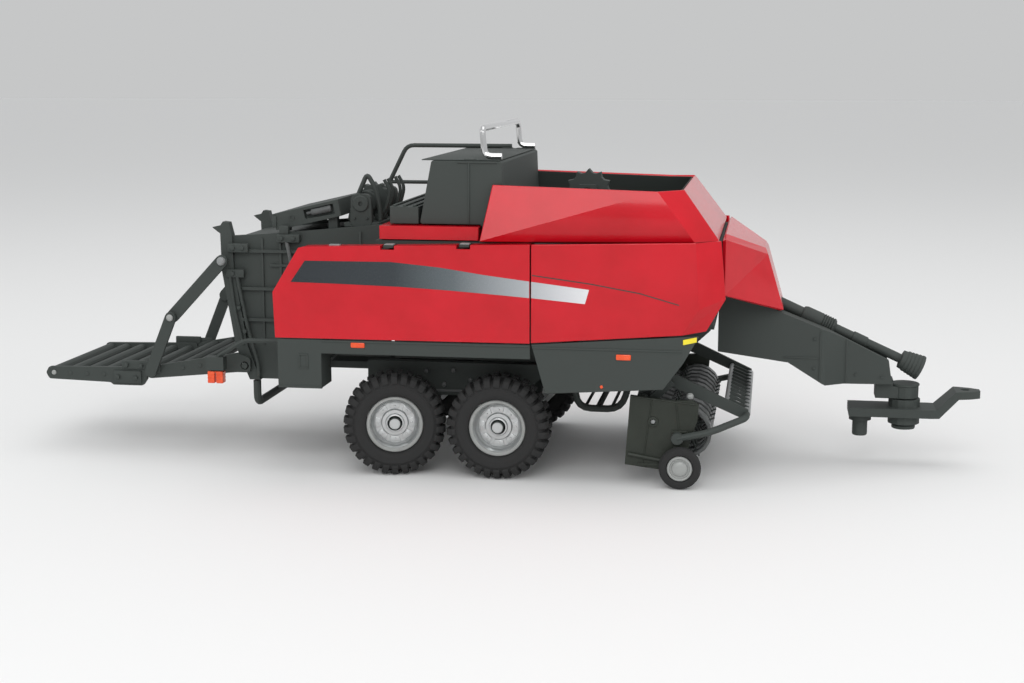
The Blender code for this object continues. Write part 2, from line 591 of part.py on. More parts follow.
def tandem_frame():
    """The frame under the chamber that carries the front axle and the rear kingpins."""
    beam = plate([(-41.0, 32.4), (-41.0, 26.0), (-37.0, 22.0), (-35.4, 10.4), (-28.2, 10.4), (-26.6, 22.0),
                  (-3.0, 22.0), (-0.8, 11.6), (7.2, 11.6), (10.0, 24.0), (14.0, 28.0), (14.0, 32.4)],
                 -24.2, -20.2)
    fork = [box(REAR_AXLE_X - 2.4, REAR_AXLE_X + 2.4, -27.6, -23.0, z0, z1)
            for z0, z1 in ((10.4, 12.2), (19.2, 21.0))]
    opening = box(REAR_AXLE_X - 6.4, REAR_AXLE_X + 3.4, -28.0, -19.0, 12.2, 19.2)
    side = cut(join(beam, *fork), opening)
    cross = [box(x0, x1, -21.0, 21.0, z0, z1)
             for x0, x1, z0, z1 in ((-40.0, -36.6, 26.4, 28.0), (-18.0, -12.0, 23.0, 28.0),
                                    (10.0, 13.6, 28.4, 32.0))]
    pads = [box(x0, x1, -20.6, 20.6, 27.4, 28.2) for x0, x1 in ((-36.0, -20.0),)]
    bore = rod((FRONT_AXLE_X, -25.0, TYRE_RADIUS), (FRONT_AXLE_X, 25.0, TYRE_RADIUS), 2.5 + GAP)
    part("tandem_frame", cut(join(side, mirrored(side), *cross, *pads), bore), "grey")
    axle = rod((FRONT_AXLE_X, -28.4, TYRE_RADIUS), (FRONT_AXLE_X, 28.4, TYRE_RADIUS), 2.5)
    stub = rod((FRONT_AXLE_X, -40.4, TYRE_RADIUS), (FRONT_AXLE_X, 40.4, TYRE_RADIUS), AXLE_RADIUS)
    part("front_axle", join(axle, stub), "grey")


def about_kingpin(x, y, side):
    """A point given from a kingpin, turned with the wheels as they stand."""
    angle = math.radians(STEER_REST)
    return (REAR_AXLE_X + x * math.cos(angle) - y * math.sin(angle),
            side * KINGPIN_Y + x * math.sin(angle) + y * math.cos(angle))


def steered(solid, side):
    """Turn a piece that was made straight ahead about its kingpin."""
    pin = Vector((REAR_AXLE_X, side * KINGPIN_Y, 0.0)) * MM
    turn = Matrix.Rotation(math.radians(STEER_REST), 4, "Z")
    solid.data.transform(Matrix.Translation(pin) @ turn @ Matrix.Translation(-pin))
    return solid


def tyre_profile():
    """Half of a tyre's section mirrored: (radius, offset along Y)."""
    half, r = TYRE_WIDTH / 2, TYRE_RADIUS
    outer = [(RIM_RADIUS + 0.3, half - 2.2), (RIM_RADIUS + 1.2, half - 0.5), (r - 3.4, half),
             (r - 1.3, half - 0.7), (r - 0.3, half - 2.4), (r, half - 4.4)]
    return outer + [(radius, -y) for radius, y in reversed(outer)]


def rim(hub_y, side):
    """A deep-dished wheel disc, bored for its axle."""
    half = TYRE_WIDTH / 2 - 2.0
    r = RIM_RADIUS - 0.1
    face = half - RIM_DISH
    bore = AXLE_RADIUS + GAP
    profile = [(bore, -half + 1.0), (3.4, -half + 1.0), (3.4, face - 1.8), (r - 1.4, face - 1.8),
               (r - 1.4, -half), (r, -half), (r, half), (r - 1.0, half), (r - 1.4, face),
               (4.2, face), (3.4, face + 1.2), (bore, face + 1.2)]
    return turned(profile, (0.0, hub_y, TYRE_RADIUS), side)


def wheels():
    """Four wheels: the front pair straight, the rear pair on steered knuckles."""
    for label, side in SIDES:
        for axle, x in (("front", FRONT_AXLE_X), ("rear", REAR_AXLE_X)):
            tyre = turned(tyre_profile(), (x, side * WHEEL_Y, TYRE_RADIUS), side, 28)
            disc = rim(side * WHEEL_Y, side)
            disc.data.transform(Matrix.Translation(Vector((x, 0.0, 0.0)) * MM))
            hub = (x, side * WHEEL_Y)
            if axle == "rear":
                tyre, disc = steered(tyre, side), steered(disc, side)
                hub = about_kingpin(0.0, side * (WHEEL_Y - KINGPIN_Y), side)
            pivot = (*hub, TYRE_RADIUS)
            part(f"tyre_{axle}_{label}", tyre, "rubber", pivot)
            part(f"rim_{axle}_{label}", disc, "silver", pivot)


def knuckles():
    """The rear knuckles with their stub axles and arms, and the tie rod between the arms."""
    for label, side in SIDES:
        y = side * KINGPIN_Y
        block = box(REAR_AXLE_X - 1.9, REAR_AXLE_X + 1.9, y - 1.9, y + 1.9, 12.2 + GAP, 19.2 - GAP)
        stub = rod((REAR_AXLE_X, y, TYRE_RADIUS), (REAR_AXLE_X, side * 40.4, TYRE_RADIUS), AXLE_RADIUS)
        arm = box(REAR_AXLE_X - STEER_ARM - 1.2, REAR_AXLE_X, y - 0.9, y + 0.9, 16.2, 17.6)
        pivot = (REAR_AXLE_X, y, TYRE_RADIUS)
        part(f"rear_knuckle_{label}", steered(join(block, stub, arm), side), "charcoal", pivot)
    right = about_kingpin(-STEER_ARM, 0.0, -1)
    left = about_kingpin(-STEER_ARM, 0.0, 1)
    bar = rod((right[0], right[1] - 1.0, 15.0), (left[0], left[1] + 1.0, 15.0), 0.85, sides=12)
    part("tie_rod", bar, "charcoal", (*right, 15.0))


# ---------------------------------------------------------------- drawbar, hitch and drive

def drawbar():
    """The tapering drawbar with a trough for the drive shaft, and the hitch head on its nose."""
    side_view = [(BULKHEAD_X + 2.0, 58.4), (87.6, 48.6), (101.6, 43.1), (120.6, 33.7), (121.8, 26.2),
                 (101.2, 25.9), (89.7, 33.0), (BULKHEAD_X + 2.0, 35.9)]
    body = plate(side_view, -DRAWBAR_Y, DRAWBAR_Y)
    trims = [plate([(DRAWBAR_NOSE_X - 4.0, side * (DRAWBAR_Y + 1)), (DRAWBAR_NOSE_X - 4.0, side * DRAWBAR_Y),
                    (DRAWBAR_NOSE_X + 3.0, side * DRAWBAR_NOSE_Y), (125.0, side * DRAWBAR_NOSE_Y),
                    (125.0, side * (DRAWBAR_Y + 1))], 20.0, 60.0, axis="z") for _name, side in SIDES]
    slope = (PTO_END[1] - PTO_START[1]) / (PTO_END[0] - PTO_START[0])
    floor = [(x, PTO_START[1] + slope * (x - PTO_START[0]) - 4.2) for x in (84.0, 126.0)]
    trough = plate([floor[0], floor[1], (126.0, 62.0), (84.0, 62.0)], -TROUGH_Y, TROUGH_Y)
    hollow = plate([(BULKHEAD_X + 4.0, 25.0), (BULKHEAD_X + 4.0, 50.0), (84.0, 44.5), (99.0, 37.5),
                    (99.0, 20.0)], -DRAWBAR_Y + 2.2, DRAWBAR_Y - 2.2)
    body = cut(body, *trims, trough, hollow)
    nose = box(117.0, 122.4, -3.6, 3.6, 21.2, 27.0)
    neck = box(121.0, HITCH_X, -3.6, 3.6, 21.2, 25.0)
    head = rod((HITCH_X, 0, 21.2), (HITCH_X, 0, 25.2), 4.3)
    pin = rod((HITCH_X, 0, 12.2), (HITCH_X, 0, 22.0), HITCH_PIN_RADIUS)
    cap = rod((HITCH_X, 0, 11.4), (HITCH_X, 0, 12.6), 3.4)
    part("drawbar", join(body, nose, neck, head, pin, cap), "charcoal")

    bar = plate([(109.0, 18.3), (109.0, 15.6), (136.6, 15.6), (142.4, 21.6), (149.1, 21.6), (149.1, 24.0),
                 (141.4, 24.0), (135.6, 18.3)], -6.2, 6.2)
    taper = [plate([(134.0, side * 8.0), (134.0, side * 6.2), (143.0, side * 4.6), (146.0, side * 3.6),
                    (149.1, side * 1.6), (150.0, side * 8.0)], 10.0, 30.0, axis="z") for _name, side in SIDES]
    boss = rod((HITCH_X, 0, 12.6 + GAP), (HITCH_X, 0, 21.2 - GAP), 4.9)
    foot = rod((112.8, 0, 8.6), (112.8, 0, 16.4), 2.2)
    flange = rod((112.8, 0, 13.6), (112.8, 0, 16.4), 3.3)
    eye = rod((144.6, 0, 19.0), (144.6, 0, 26.0), 1.4)
    pin_hole = rod((HITCH_X, 0, 10.0), (HITCH_X, 0, 24.0), HITCH_PIN_RADIUS + GAP)
    solid = cut(join(cut(bar, *taper), boss, foot, flange), eye, pin_hole)
    part("hitch_plate", solid, "grey", (HITCH_X, 0.0, 17.0))


def pto_shaft():
    """The guarded drive shaft above the drawbar, thick at the rear and coned at its free end."""
    start, end = Vector((PTO_START[0], 0, PTO_START[1])), Vector((PTO_END[0], 0, PTO_END[1]))
    # columns: from, to (shares of the shaft's length), radius at each
    sections = ((-0.085, 0.2, 1.8, 1.8), (0.12, 0.35, 2.6, 2.6), (0.3, 0.86, 1.6, 1.6),
                (0.85, 1.0, 2.9, 4.0))
    pieces = [rod(start.lerp(end, a), start.lerp(end, b), r0, r1, 18) for a, b, r0, r1 in sections]
    part("pto_shaft", join(*pieces), "charcoal", tuple(start))


# ---------------------------------------------------------------- pickup

def pickup():
    """The lifting pickup: side shields, back beam with stripper bands, reel, wind guard and wheels."""
    inner = -(SHIELD_Y - SHIELD_WALL)
    sheet = plate([(43.4, 27.2), (56.6, 25.9), (61.8, 26.2), (63.8, 24.8), (63.4, 20.0), (61.4, 14.0),
                   (60.6, 8.6), (52.5, 4.8), (42.0, 6.1), (42.2, 9.0)], -SHIELD_Y, inner)
    stub = rod((GAUGE_X, inner - 0.3, GAUGE_RADIUS), (GAUGE_X, -GAUGE_Y - 1.0, GAUGE_RADIUS), 1.0)
    boss = rod((PICKUP_PIVOT[0], inner - 0.4, PICKUP_PIVOT[1]),
               (PICKUP_PIVOT[0], -36.4, PICKUP_PIVOT[1]), 2.0)
    step = box(GAUGE_X - 2.2, GAUGE_X + 2.2, -SHIELD_Y - 0.9, -SHIELD_Y + 0.4, 3.4, 12.0)
    pivot = (PICKUP_PIVOT[0], 0.0, PICKUP_PIVOT[1])
    both_sides("pickup_shield", join(sheet, stub, boss, step), "charcoal", pivot)

    width = (STRIP_COUNT - 1) * STRIP_PITCH / 2
    band = [(REEL[0] + STRIP_OUTER * math.cos(a), REEL[1] + STRIP_OUTER * math.sin(a))
            for a in (math.radians(k) for k in range(-100, 141, 20))]
    inner_arc = [(REEL[0] + (STRIP_OUTER - 1.1) * math.cos(a), REEL[1] + (STRIP_OUTER - 1.1) * math.sin(a))
                 for a in (math.radians(k) for k in range(140, -101, -20))]
    outline = band + [(49.0, 22.0), (49.0, 20.6)] + inner_arc
    bands = [plate(outline, -width + k * STRIP_PITCH - 1.9, -width + k * STRIP_PITCH + 1.9)
             for k in range(STRIP_COUNT)]
    beam = box(44.8, 49.6, inner + GAP, -(inner + GAP), 19.0, 22.2)
    floor = plate([(44.8, 8.0), (50.4, 7.6), (50.4, 9.2), (44.8, 9.6)], inner + GAP, -(inner + GAP))
    back = [box(44.8, 46.2, y - 2.0, y + 2.0, 8.4, 20.0) for y in (-36.0, 0.0, 36.0)]
    part("pickup_body", join(beam, floor, *back, *bands), "charcoal", pivot)

    shaft = rod((REEL[0], inner + 0.6, REEL[1]), (REEL[0], -(inner + 0.6), REEL[1]), 2.2, sides=12)
    tines = []
    for k in range(STRIP_COUNT - 1):
        y = -width + (k + 0.5) * STRIP_PITCH
        for arm in range(4):
            angle = math.radians(90.0 * arm + 25.0)
            tip = (REEL[0] + REEL_TIP * math.cos(angle), y, REEL[1] + REEL_TIP * math.sin(angle))
            tines.append(rod((REEL[0] + math.cos(angle), y, REEL[1] + math.sin(angle)), tip, 0.5, 0.3, 5))
    part("pickup_reel", join(shaft, *tines), "grey", (REEL[0], 0.0, REEL[1]))

    x, z = WIND_GUARD
    arm = plate([(53.8, 31.4), (56.4, 32.6), (x + 0.6, z + 1.4), (x + 0.2, z - 1.6), (75.0, z - 0.6),
                 (54.6, 29.2)], -34.2, -33.0)
    lug = plate([(46.4, 23.6), (49.6, 23.6), (56.2, 29.8), (54.4, 31.8)], -36.0, -34.0)
    eye = rod((PICKUP_PIVOT[0], -36.0, PICKUP_PIVOT[1]), (PICKUP_PIVOT[0], -34.0, PICKUP_PIVOT[1]), 2.05)
    bore = rod((PICKUP_PIVOT[0], -37.0, PICKUP_PIVOT[1]), (PICKUP_PIVOT[0], -33.0, PICKUP_PIVOT[1]),
               PICKUP_PIN_RADIUS + 0.3)
    lug = cut(join(lug, eye), bore)
    brace = tube([(57.6, -SHIELD_Y - 1.4, 14.8), (67.0, -SHIELD_Y - 1.4, 17.0), (x, -37.0, z - 0.4),
                  (x, -32.0, z)], 0.95, 3.0)
    seat = rod((57.6, -SHIELD_Y - 0.35, 14.8), (57.6, -SHIELD_Y - 2.3, 14.8), 1.7, sides=14)
    side = join(arm, lug, brace, seat)
    roller = rod((x, -34.0, z), (x, 34.0, z), 1.05, sides=12)
    rail = rod((x - 6.0, -34.0, z + 2.6), (x - 6.0, 34.0, z + 2.6), 0.6, sides=8)
    fingers = [box(x - 6.2, x + 0.2, -28.0 + 5.6 * k - 0.4, -28.0 + 5.6 * k + 0.4, z + 0.6, z + 1.4)
               for k in range(11)]
    guard = join(side, mirrored(side), roller, rail)
    for finger in fingers:
        tilt = Matrix.Rotation(math.radians(23.0), 4, "Y")
        pin = Vector((x, 0.0, z)) * MM
        finger.data.transform(Matrix.Translation(pin) @ tilt @ Matrix.Translation(-pin))
    part("wind_guard", join(guard, *fingers), "grey", pivot)

    for label, side in SIDES:
        half = GAUGE_WIDTH / 2
        r = GAUGE_RADIUS
        profile = [(1.0 + GAP, -half + 0.4), (r - 1.6, -half), (r - 0.4, -half + 0.4), (r, -half + 1.2),
                   (r, half - 1.2), (r - 0.4, half - 0.4), (r - 1.6, half), (3.4, half - 0.3),
                   (3.0, half - 0.9), (1.0 + GAP, half - 0.5)]
        wheel = turned(profile, (GAUGE_X, side * GAUGE_Y, GAUGE_RADIUS), side, 20)
        part(f"gauge_wheel_{label}", wheel, "rubber", (GAUGE_X, side * GAUGE_Y, GAUGE_RADIUS))


# ---------------------------------------------------------------- lamps and guards

def lamps():
    """The tail lamp arms behind the lockers, with two hanging lamps each."""
    y = -31.0
    arm = tube([(-63.0, y, 38.8), (-79.0, y, 38.8), (-87.6, y, 33.6), (-88.4, y, 31.6)], 0.8, 2.2)
    holder = box(-91.4, -85.6, y - 1.7, y + 1.7, 29.2, 33.4)
    foot = box(-65.0 + 1.25, -63.0 + 0.6, y - 3.2, y + 1.4, 35.4, 40.8)
    both_sides("lamp_arm", join(arm, holder, foot), "charcoal")
    blocks = [box(x - 1.1, x + 1.1, y - 1.4, y + 1.4, 25.0, 28.8) for x in (-89.9, -87.1)]
    bridge = box(-90.5, -86.5, y - 1.0, y + 1.0, 28.2, 28.8)
    both_sides("tail_lamps", join(*blocks, bridge), "orange")


def guards():
    """The needle guard hoops under the chamber and the U bar under its rear end."""
    y = 20.0
    hoop = tube([(23.6, -y, CORE_BOTTOM - GAP), (25.0, -y, 18.4), (39.0, -y, 18.4), (41.6, -y, 28.0)],
                1.05, 4.5)
    cross = rod((31.5, -y, 18.4), (31.5, y, 18.4), 0.9, sides=10)
    part("needle_guard", join(hoop, mirrored(hoop), cross), "charcoal")
    bar = tube([(-78.6, -20.6, 24.4 - GAP), (-78.6, -20.6, 16.8), (-78.6, 20.6, 16.8),
                (-78.6, 20.6, 24.4 - GAP)], 1.3, 3.0)
    part("rear_guard", bar, "charcoal")


def build():
    """Make every sub-part of the baler."""
    for make in (main_frame, side_panels, skirts, covers, hood, rails, chamber, knotter, chute, stays,
                 tandem_frame, wheels, knuckles, drawbar, pto_shaft, pickup, lamps, guards):
        make()


build()
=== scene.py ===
"""Looks of the square baler scale model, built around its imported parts."""

import json
import math

import bpy
from mathutils import Matrix, Vector

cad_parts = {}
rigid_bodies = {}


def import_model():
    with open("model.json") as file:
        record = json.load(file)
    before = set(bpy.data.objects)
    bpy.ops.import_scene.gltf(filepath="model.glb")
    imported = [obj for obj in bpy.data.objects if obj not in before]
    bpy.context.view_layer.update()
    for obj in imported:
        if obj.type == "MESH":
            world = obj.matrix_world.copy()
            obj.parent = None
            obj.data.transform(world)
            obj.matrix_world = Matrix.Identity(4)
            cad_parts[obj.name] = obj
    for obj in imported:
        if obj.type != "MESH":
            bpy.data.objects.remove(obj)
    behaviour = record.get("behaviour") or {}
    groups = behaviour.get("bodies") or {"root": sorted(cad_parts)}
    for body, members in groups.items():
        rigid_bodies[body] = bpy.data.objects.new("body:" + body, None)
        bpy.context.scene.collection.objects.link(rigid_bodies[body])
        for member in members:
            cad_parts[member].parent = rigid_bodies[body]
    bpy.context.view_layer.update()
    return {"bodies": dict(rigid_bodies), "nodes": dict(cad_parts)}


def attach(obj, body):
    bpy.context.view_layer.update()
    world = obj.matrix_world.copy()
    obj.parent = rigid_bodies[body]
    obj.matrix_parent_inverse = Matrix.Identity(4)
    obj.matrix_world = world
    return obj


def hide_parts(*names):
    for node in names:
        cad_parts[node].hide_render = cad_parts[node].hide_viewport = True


bl_info = {
    "name": "Square Baler Model",
    "version": (1, 0, 0),
    "blender": (4, 5, 0),
    "location": "3D View > Sidebar > Baler",
    "description": "Detailed pieces and materials for a square baler scale model",
    "category": "Object",
}

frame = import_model()
MM = 0.001
SIDES = (("right", -1), ("left", 1))
FLIP_Y = Matrix.Scale(-1.0, 4, (0.0, 1.0, 0.0))

# Places of the running gear, in millimetres
AXLE_HEIGHT = 15.7
WHEEL_Y = 36.3
FRONT_AXLE_X = 3.2
REAR_AXLE_X = -31.8
KINGPIN_Y = 25.6
STEER_REST = 12.0
GAUGE = (58.6, 44.0, 6.3)
PTO_START = Vector((88.8, 0.0, 49.4))
PTO_END = Vector((131.0, 0.0, 30.4))
HITCH_X = 126.2
STAND_X = 112.8
BODY_Y = 46.0

# name: colour, second colour, grain (per metre), roughness low and high, bump, metallic, coat, record slot
FINISHES = {
    "red": ((0.56, 0.004, 0.014), (0.48, 0.003, 0.010), 55, 0.16, 0.27, 0.03, 0.0, 0.2, "red_paint"),
    "charcoal": ((0.008, 0.010, 0.0095), (0.013, 0.016, 0.015), 130, 0.26, 0.42, 0.06, 0.0, 0.0, "charcoal"),
    "olive": ((0.020, 0.024, 0.018), (0.028, 0.033, 0.026), 110, 0.34, 0.5, 0.08, 0.0, 0.0, "charcoal"),
    "grey": ((0.085, 0.09, 0.09), (0.12, 0.126, 0.124), 160, 0.32, 0.48, 0.06, 0.0, 0.0, "grey_metal"),
    "pale": ((0.22, 0.23, 0.23), (0.29, 0.30, 0.30), 160, 0.3, 0.45, 0.05, 0.0, 0.0, "silver"),
    "silver": ((0.24, 0.25, 0.25), (0.30, 0.31, 0.31), 200, 0.26, 0.4, 0.05, 0.55, 0.0, "silver"),
    "white": ((0.36, 0.37, 0.36), (0.31, 0.32, 0.31), 200, 0.3, 0.42, 0.03, 0.1, 0.0, "silver"),
    "chrome": ((0.11, 0.12, 0.12), (0.08, 0.085, 0.09), 260, 0.1, 0.2, 0.02, 1.0, 0.0, "chrome"),
    "rubber": ((0.007, 0.008, 0.0085), (0.012, 0.013, 0.014), 170, 0.26, 0.42, 0.1, 0.0, 0.0, "rubber"),
    "orange": ((0.86, 0.11, 0.03), (0.75, 0.075, 0.02), 300, 0.2, 0.3, 0.12, 0.0, 0.4, "orange_lamp"),
    "yellow": ((0.85, 0.72, 0.04), (0.78, 0.64, 0.03), 300, 0.25, 0.35, 0.05, 0.0, 0.3, "orange_lamp"),
}

PLAIN_NODES = {   # CAD node (or the start of its name): finish
    "rear_door": "red", "front_panel": "red", "deck_sill": "red", "front_housing": "red", "hood": "red",
    "main_frame": "charcoal", "rear_skirt": "charcoal", "front_skirt": "charcoal",
    "service_cover": "charcoal", "knotter_cover": "charcoal", "chamber": "charcoal",
    "density_beam": "charcoal", "knotter_bearings": "charcoal", "knotter_rotor": "charcoal",
    "twine_loop": "charcoal", "platform_rail": "charcoal", "grab_handle": "chrome", "drive_disc": "charcoal",
    "chute": "charcoal", "stay": "charcoal", "tandem_frame": "charcoal", "front_axle": "charcoal",
    "rear_knuckle": "charcoal", "tie_rod": "charcoal", "drawbar": "charcoal", "hitch_plate": "charcoal",
    "pto_shaft": "charcoal", "pickup_shield": "olive", "pickup_body": "grey", "pickup_reel": "charcoal",
    "wind_guard": "charcoal", "lamp_arm": "charcoal", "tail_lamps": "orange", "needle_guard": "charcoal",
    "rear_guard": "charcoal", "tyre": "rubber", "rim": "silver", "gauge_wheel": "rubber",
}


class BalerLooks(bpy.types.PropertyGroup):
    """Colours and sizes that a user would change."""
    red: bpy.props.FloatVectorProperty(
        name="Panel red", description="Colour of the painted panels", subtype="COLOR", size=3,
        min=0.0, max=1.0, default=FINISHES["red"][0])
    charcoal: bpy.props.FloatVectorProperty(
        name="Plastic", description="Colour of the dark moulded parts", subtype="COLOR", size=3,
        min=0.0, max=1.0, default=FINISHES["charcoal"][0])
    lug_count: bpy.props.IntProperty(
        name="Lugs", description="Tread lugs around each shoulder of a tyre", default=30, min=12, max=60)
    edge_round: bpy.props.FloatProperty(
        name="Edge rounding", description="Width of the soft edge on the moulded parts", unit="LENGTH",
        default=0.00022, min=0.0, max=0.001, precision=5)


# ---------------------------------------------------------------- materials

def linked(tree, kind, **inputs):
    """A node with its named inputs set."""
    node = tree.nodes.new(kind)
    for name, value in inputs.items():
        node.inputs[name.replace("_", " ")].default_value = value
    return node


def mixed(tree, factor, first, second):
    """Two colours mixed by a factor socket; each may be a colour or a socket."""
    node = tree.nodes.new("ShaderNodeMix")
    node.data_type = "RGBA"
    tree.links.new(factor, node.inputs["Factor"])
    for value, socket in ((first, node.inputs["A"]), (second, node.inputs["B"])):
        socket = [s for s in node.inputs if s.name == socket.name and s.type == "RGBA"][0]
        if isinstance(value, bpy.types.NodeSocket):
            tree.links.new(value, socket)
        else:
            socket.default_value = (*value, 1.0)
    return [s for s in node.outputs if s.type == "RGBA"][0]


def finish(name):
    """The procedural material of one finish: clouded colour, uneven gloss and a fine moulded grain."""
    if name in bpy.data.materials:
        return bpy.data.materials[name]
    colour, second, grain, rough_low, rough_high, bump, metallic, coat, _slot = FINISHES[name]
    looks = bpy.context.scene.baler_looks
    if name in ("red", "charcoal"):
        colour = tuple(getattr(looks, name))
    made = bpy.data.materials.new(name)
    made.use_nodes = True
    tree = made.node_tree
    shader = tree.nodes["Principled BSDF"]
    shader.inputs["Metallic"].default_value = metallic
    shader.inputs["Specular IOR Level"].default_value = 0.28
    shader.inputs["Coat Weight"].default_value = coat
    shader.inputs["Coat Roughness"].default_value = 0.08
    place = tree.nodes.new("ShaderNodeTexCoord").outputs["Object"]
    cloud = linked(tree, "ShaderNodeTexNoise", Scale=grain, Detail=4.0, Roughness=0.6)
    grit = linked(tree, "ShaderNodeTexNoise", Scale=grain * 22.0, Detail=3.0, Roughness=0.55)
    for noise in (cloud, grit):
        tree.links.new(place, noise.inputs["Vector"])
    spread = linked(tree, "ShaderNodeMapRange", From_Min=0.35, From_Max=0.68)
    tree.links.new(cloud.outputs["Fac"], spread.inputs["Value"])
    gloss = linked(tree, "ShaderNodeMapRange", From_Min=0.3, From_Max=0.7,
                   To_Min=rough_low, To_Max=rough_high)
    tree.links.new(grit.outputs["Fac"], gloss.inputs["Value"])
    tree.links.new(gloss.outputs["Result"], shader.inputs["Roughness"])
    tree.links.new(mixed(tree, spread.outputs["Result"], colour, second), shader.inputs["Base Color"])
    relief = linked(tree, "ShaderNodeBump", Strength=bump, Distance=0.0002)
    tree.links.new(grit.outputs["Fac"], relief.inputs["Height"])
    tree.links.new(relief.outputs["Normal"], shader.inputs["Normal"])
    return made


def stripe_finish():
    """The side stripe: dark blue-grey at the rear, fading along X to a pale silver at the front."""
    made = bpy.data.materials.new("side_stripe")
    made.use_nodes = True
    tree = made.node_tree
    shader = tree.nodes["Principled BSDF"]
    place = tree.nodes.new("ShaderNodeTexCoord").outputs["Object"]
    apart = tree.nodes.new("ShaderNodeSeparateXYZ")
    tree.links.new(place, apart.inputs["Vector"])
    along = linked(tree, "ShaderNodeMapRange", From_Min=-0.059, From_Max=0.032)
    tree.links.new(apart.outputs["X"], along.inputs["Value"])
    ramp = tree.nodes.new("ShaderNodeValToRGB")
    ramp.color_ramp.elements[0].color = (0.012, 0.017, 0.022, 1.0)
    ramp.color_ramp.elements[1].color = (0.72, 0.72, 0.74, 1.0)
    for position, colour in ((0.35, (0.022, 0.03, 0.036, 1.0)), (0.55, (0.10, 0.12, 0.13, 1.0)),
                             (0.78, (0.36, 0.38, 0.4, 1.0))):
        ramp.color_ramp.elements.new(position).color = colour
    tree.links.new(along.outputs["Result"], ramp.inputs["Fac"])
    speck = linked(tree, "ShaderNodeTexNoise", Scale=9000.0, Detail=2.0)
    tree.links.new(place, speck.inputs["Vector"])
    gloss = linked(tree, "ShaderNodeMapRange", To_Min=0.18, To_Max=0.34)
    tree.links.new(speck.outputs["Fac"], gloss.inputs["Value"])
    tree.links.new(gloss.outputs["Result"], shader.inputs["Roughness"])
    tree.links.new(ramp.outputs["Color"], shader.inputs["Base Color"])
    return made


# ---------------------------------------------------------------- modelling by hand

def deselect():
    """Leave edit mode and select nothing."""
    if bpy.context.object and bpy.context.object.mode != "OBJECT":
        bpy.ops.object.mode_set(mode="OBJECT")
    bpy.ops.object.select_all(action="DESELECT")


def only(piece):
    """Make one piece the selected and active one."""
    deselect()
    piece.select_set(True)
    bpy.context.view_layer.objects.active = piece


def in_edit(piece, test=None, kind="FACE"):
    """Enter edit mode with the faces, edges or vertices selected that pass a test."""
    only(piece)
    bpy.ops.object.mode_set(mode="EDIT")
    bpy.ops.mesh.select_mode(type=kind)
    bpy.ops.mesh.select_all(action="SELECT" if test is None else "DESELECT")
    if test is not None:
        bpy.ops.object.mode_set(mode="OBJECT")
        mesh = piece.data
        items = {"FACE": mesh.polygons, "VERT": mesh.vertices, "EDGE": mesh.edges}[kind]
        for item in items:
            item.select = bool(test(item))
        bpy.ops.object.mode_set(mode="EDIT")


def applied(piece, kind, **settings):
    """Add a modifier with its settings and apply it."""
    only(piece)
    modifier = piece.modifiers.new(kind.lower(), kind)
    for name, value in settings.items():
        setattr(modifier, name, value)
    bpy.ops.object.modifier_apply(modifier=modifier.name)
    return piece


def block(low, high, soft=0.2):
    """A block between two corners with softened edges, in millimetres."""
    deselect()
    low, high = Vector(low), Vector(high)
    bpy.ops.mesh.primitive_cube_add(size=1.0, location=(low + high) / 2 * MM)
    piece = bpy.context.object
    piece.scale = (high - low) * MM
    bpy.ops.object.transform_apply(location=True, rotation=True, scale=True)
    if soft:
        bpy.ops.object.mode_set(mode="EDIT")
        bpy.ops.mesh.select_all(action="SELECT")
        bpy.ops.mesh.bevel(offset=soft * MM, segments=2, affect="EDGES")
        deselect()
    return piece


def bar(start, end, radius, radius_end=None, soft=0.15, sides=20):
    """A round bar or cone between two points with softened ends, in millimetres."""
    deselect()
    start, end = Vector(start), Vector(end)
    run = end - start
    bpy.ops.mesh.primitive_cone_add(
        vertices=sides, radius1=radius * MM, radius2=(radius if radius_end is None else radius_end) * MM,
        depth=run.length * MM, location=(start + end) / 2 * MM,
        rotation=run.to_track_quat("Z", "Y").to_euler())
    bpy.ops.object.transform_apply(location=True, rotation=True, scale=True)
    piece = bpy.context.object
    if soft:
        heading = run.normalized()
        ends = {p.index for p in piece.data.polygons if abs(p.normal.dot(heading)) > 0.99}
        in_edit(piece, lambda face: face.index in ends)
        bpy.ops.mesh.bevel(offset=soft * MM, segments=2, affect="EDGES")
        deselect()
    return piece


def drawn(points, closed=False):
    """A route of edges drawn by extruding one vertex from point to point, in millimetres."""
    deselect()
    bpy.ops.mesh.primitive_plane_add(size=0.001, location=Vector(points[0]) * MM)
    bpy.ops.object.transform_apply(location=True, rotation=True, scale=True)
    piece = bpy.context.object
    bpy.ops.object.mode_set(mode="EDIT")
    bpy.ops.mesh.select_mode(type="VERT")
    bpy.ops.mesh.select_all(action="SELECT")
    bpy.ops.mesh.merge(type="CENTER")
    route = [*points[1:], points[0]] if closed else points[1:]
    for before, after in zip(points, route):
        step = (Vector(after) - Vector(before)) * MM
        bpy.ops.mesh.extrude_region_move(TRANSFORM_OT_translate={"value": step})
    bpy.ops.mesh.select_all(action="SELECT")
    bpy.ops.mesh.remove_doubles(threshold=0.000002)
    return piece


def turned(piece, centre, axis, steps):
    """Spin a drawn profile, still in edit mode, into a closed round body about an axis in millimetres."""
    bpy.ops.mesh.select_all(action="SELECT")
    bpy.ops.mesh.spin(steps=steps, angle=math.tau, center=Vector(centre) * MM, axis=axis)
    bpy.ops.mesh.select_all(action="SELECT")
    bpy.ops.mesh.remove_doubles(threshold=0.000004)
    bpy.ops.mesh.select_all(action="SELECT")
    bpy.ops.mesh.delete_loose()
    bpy.ops.mesh.select_all(action="SELECT")
    bpy.ops.mesh.normals_make_consistent(inside=False)
    deselect()
    return piece


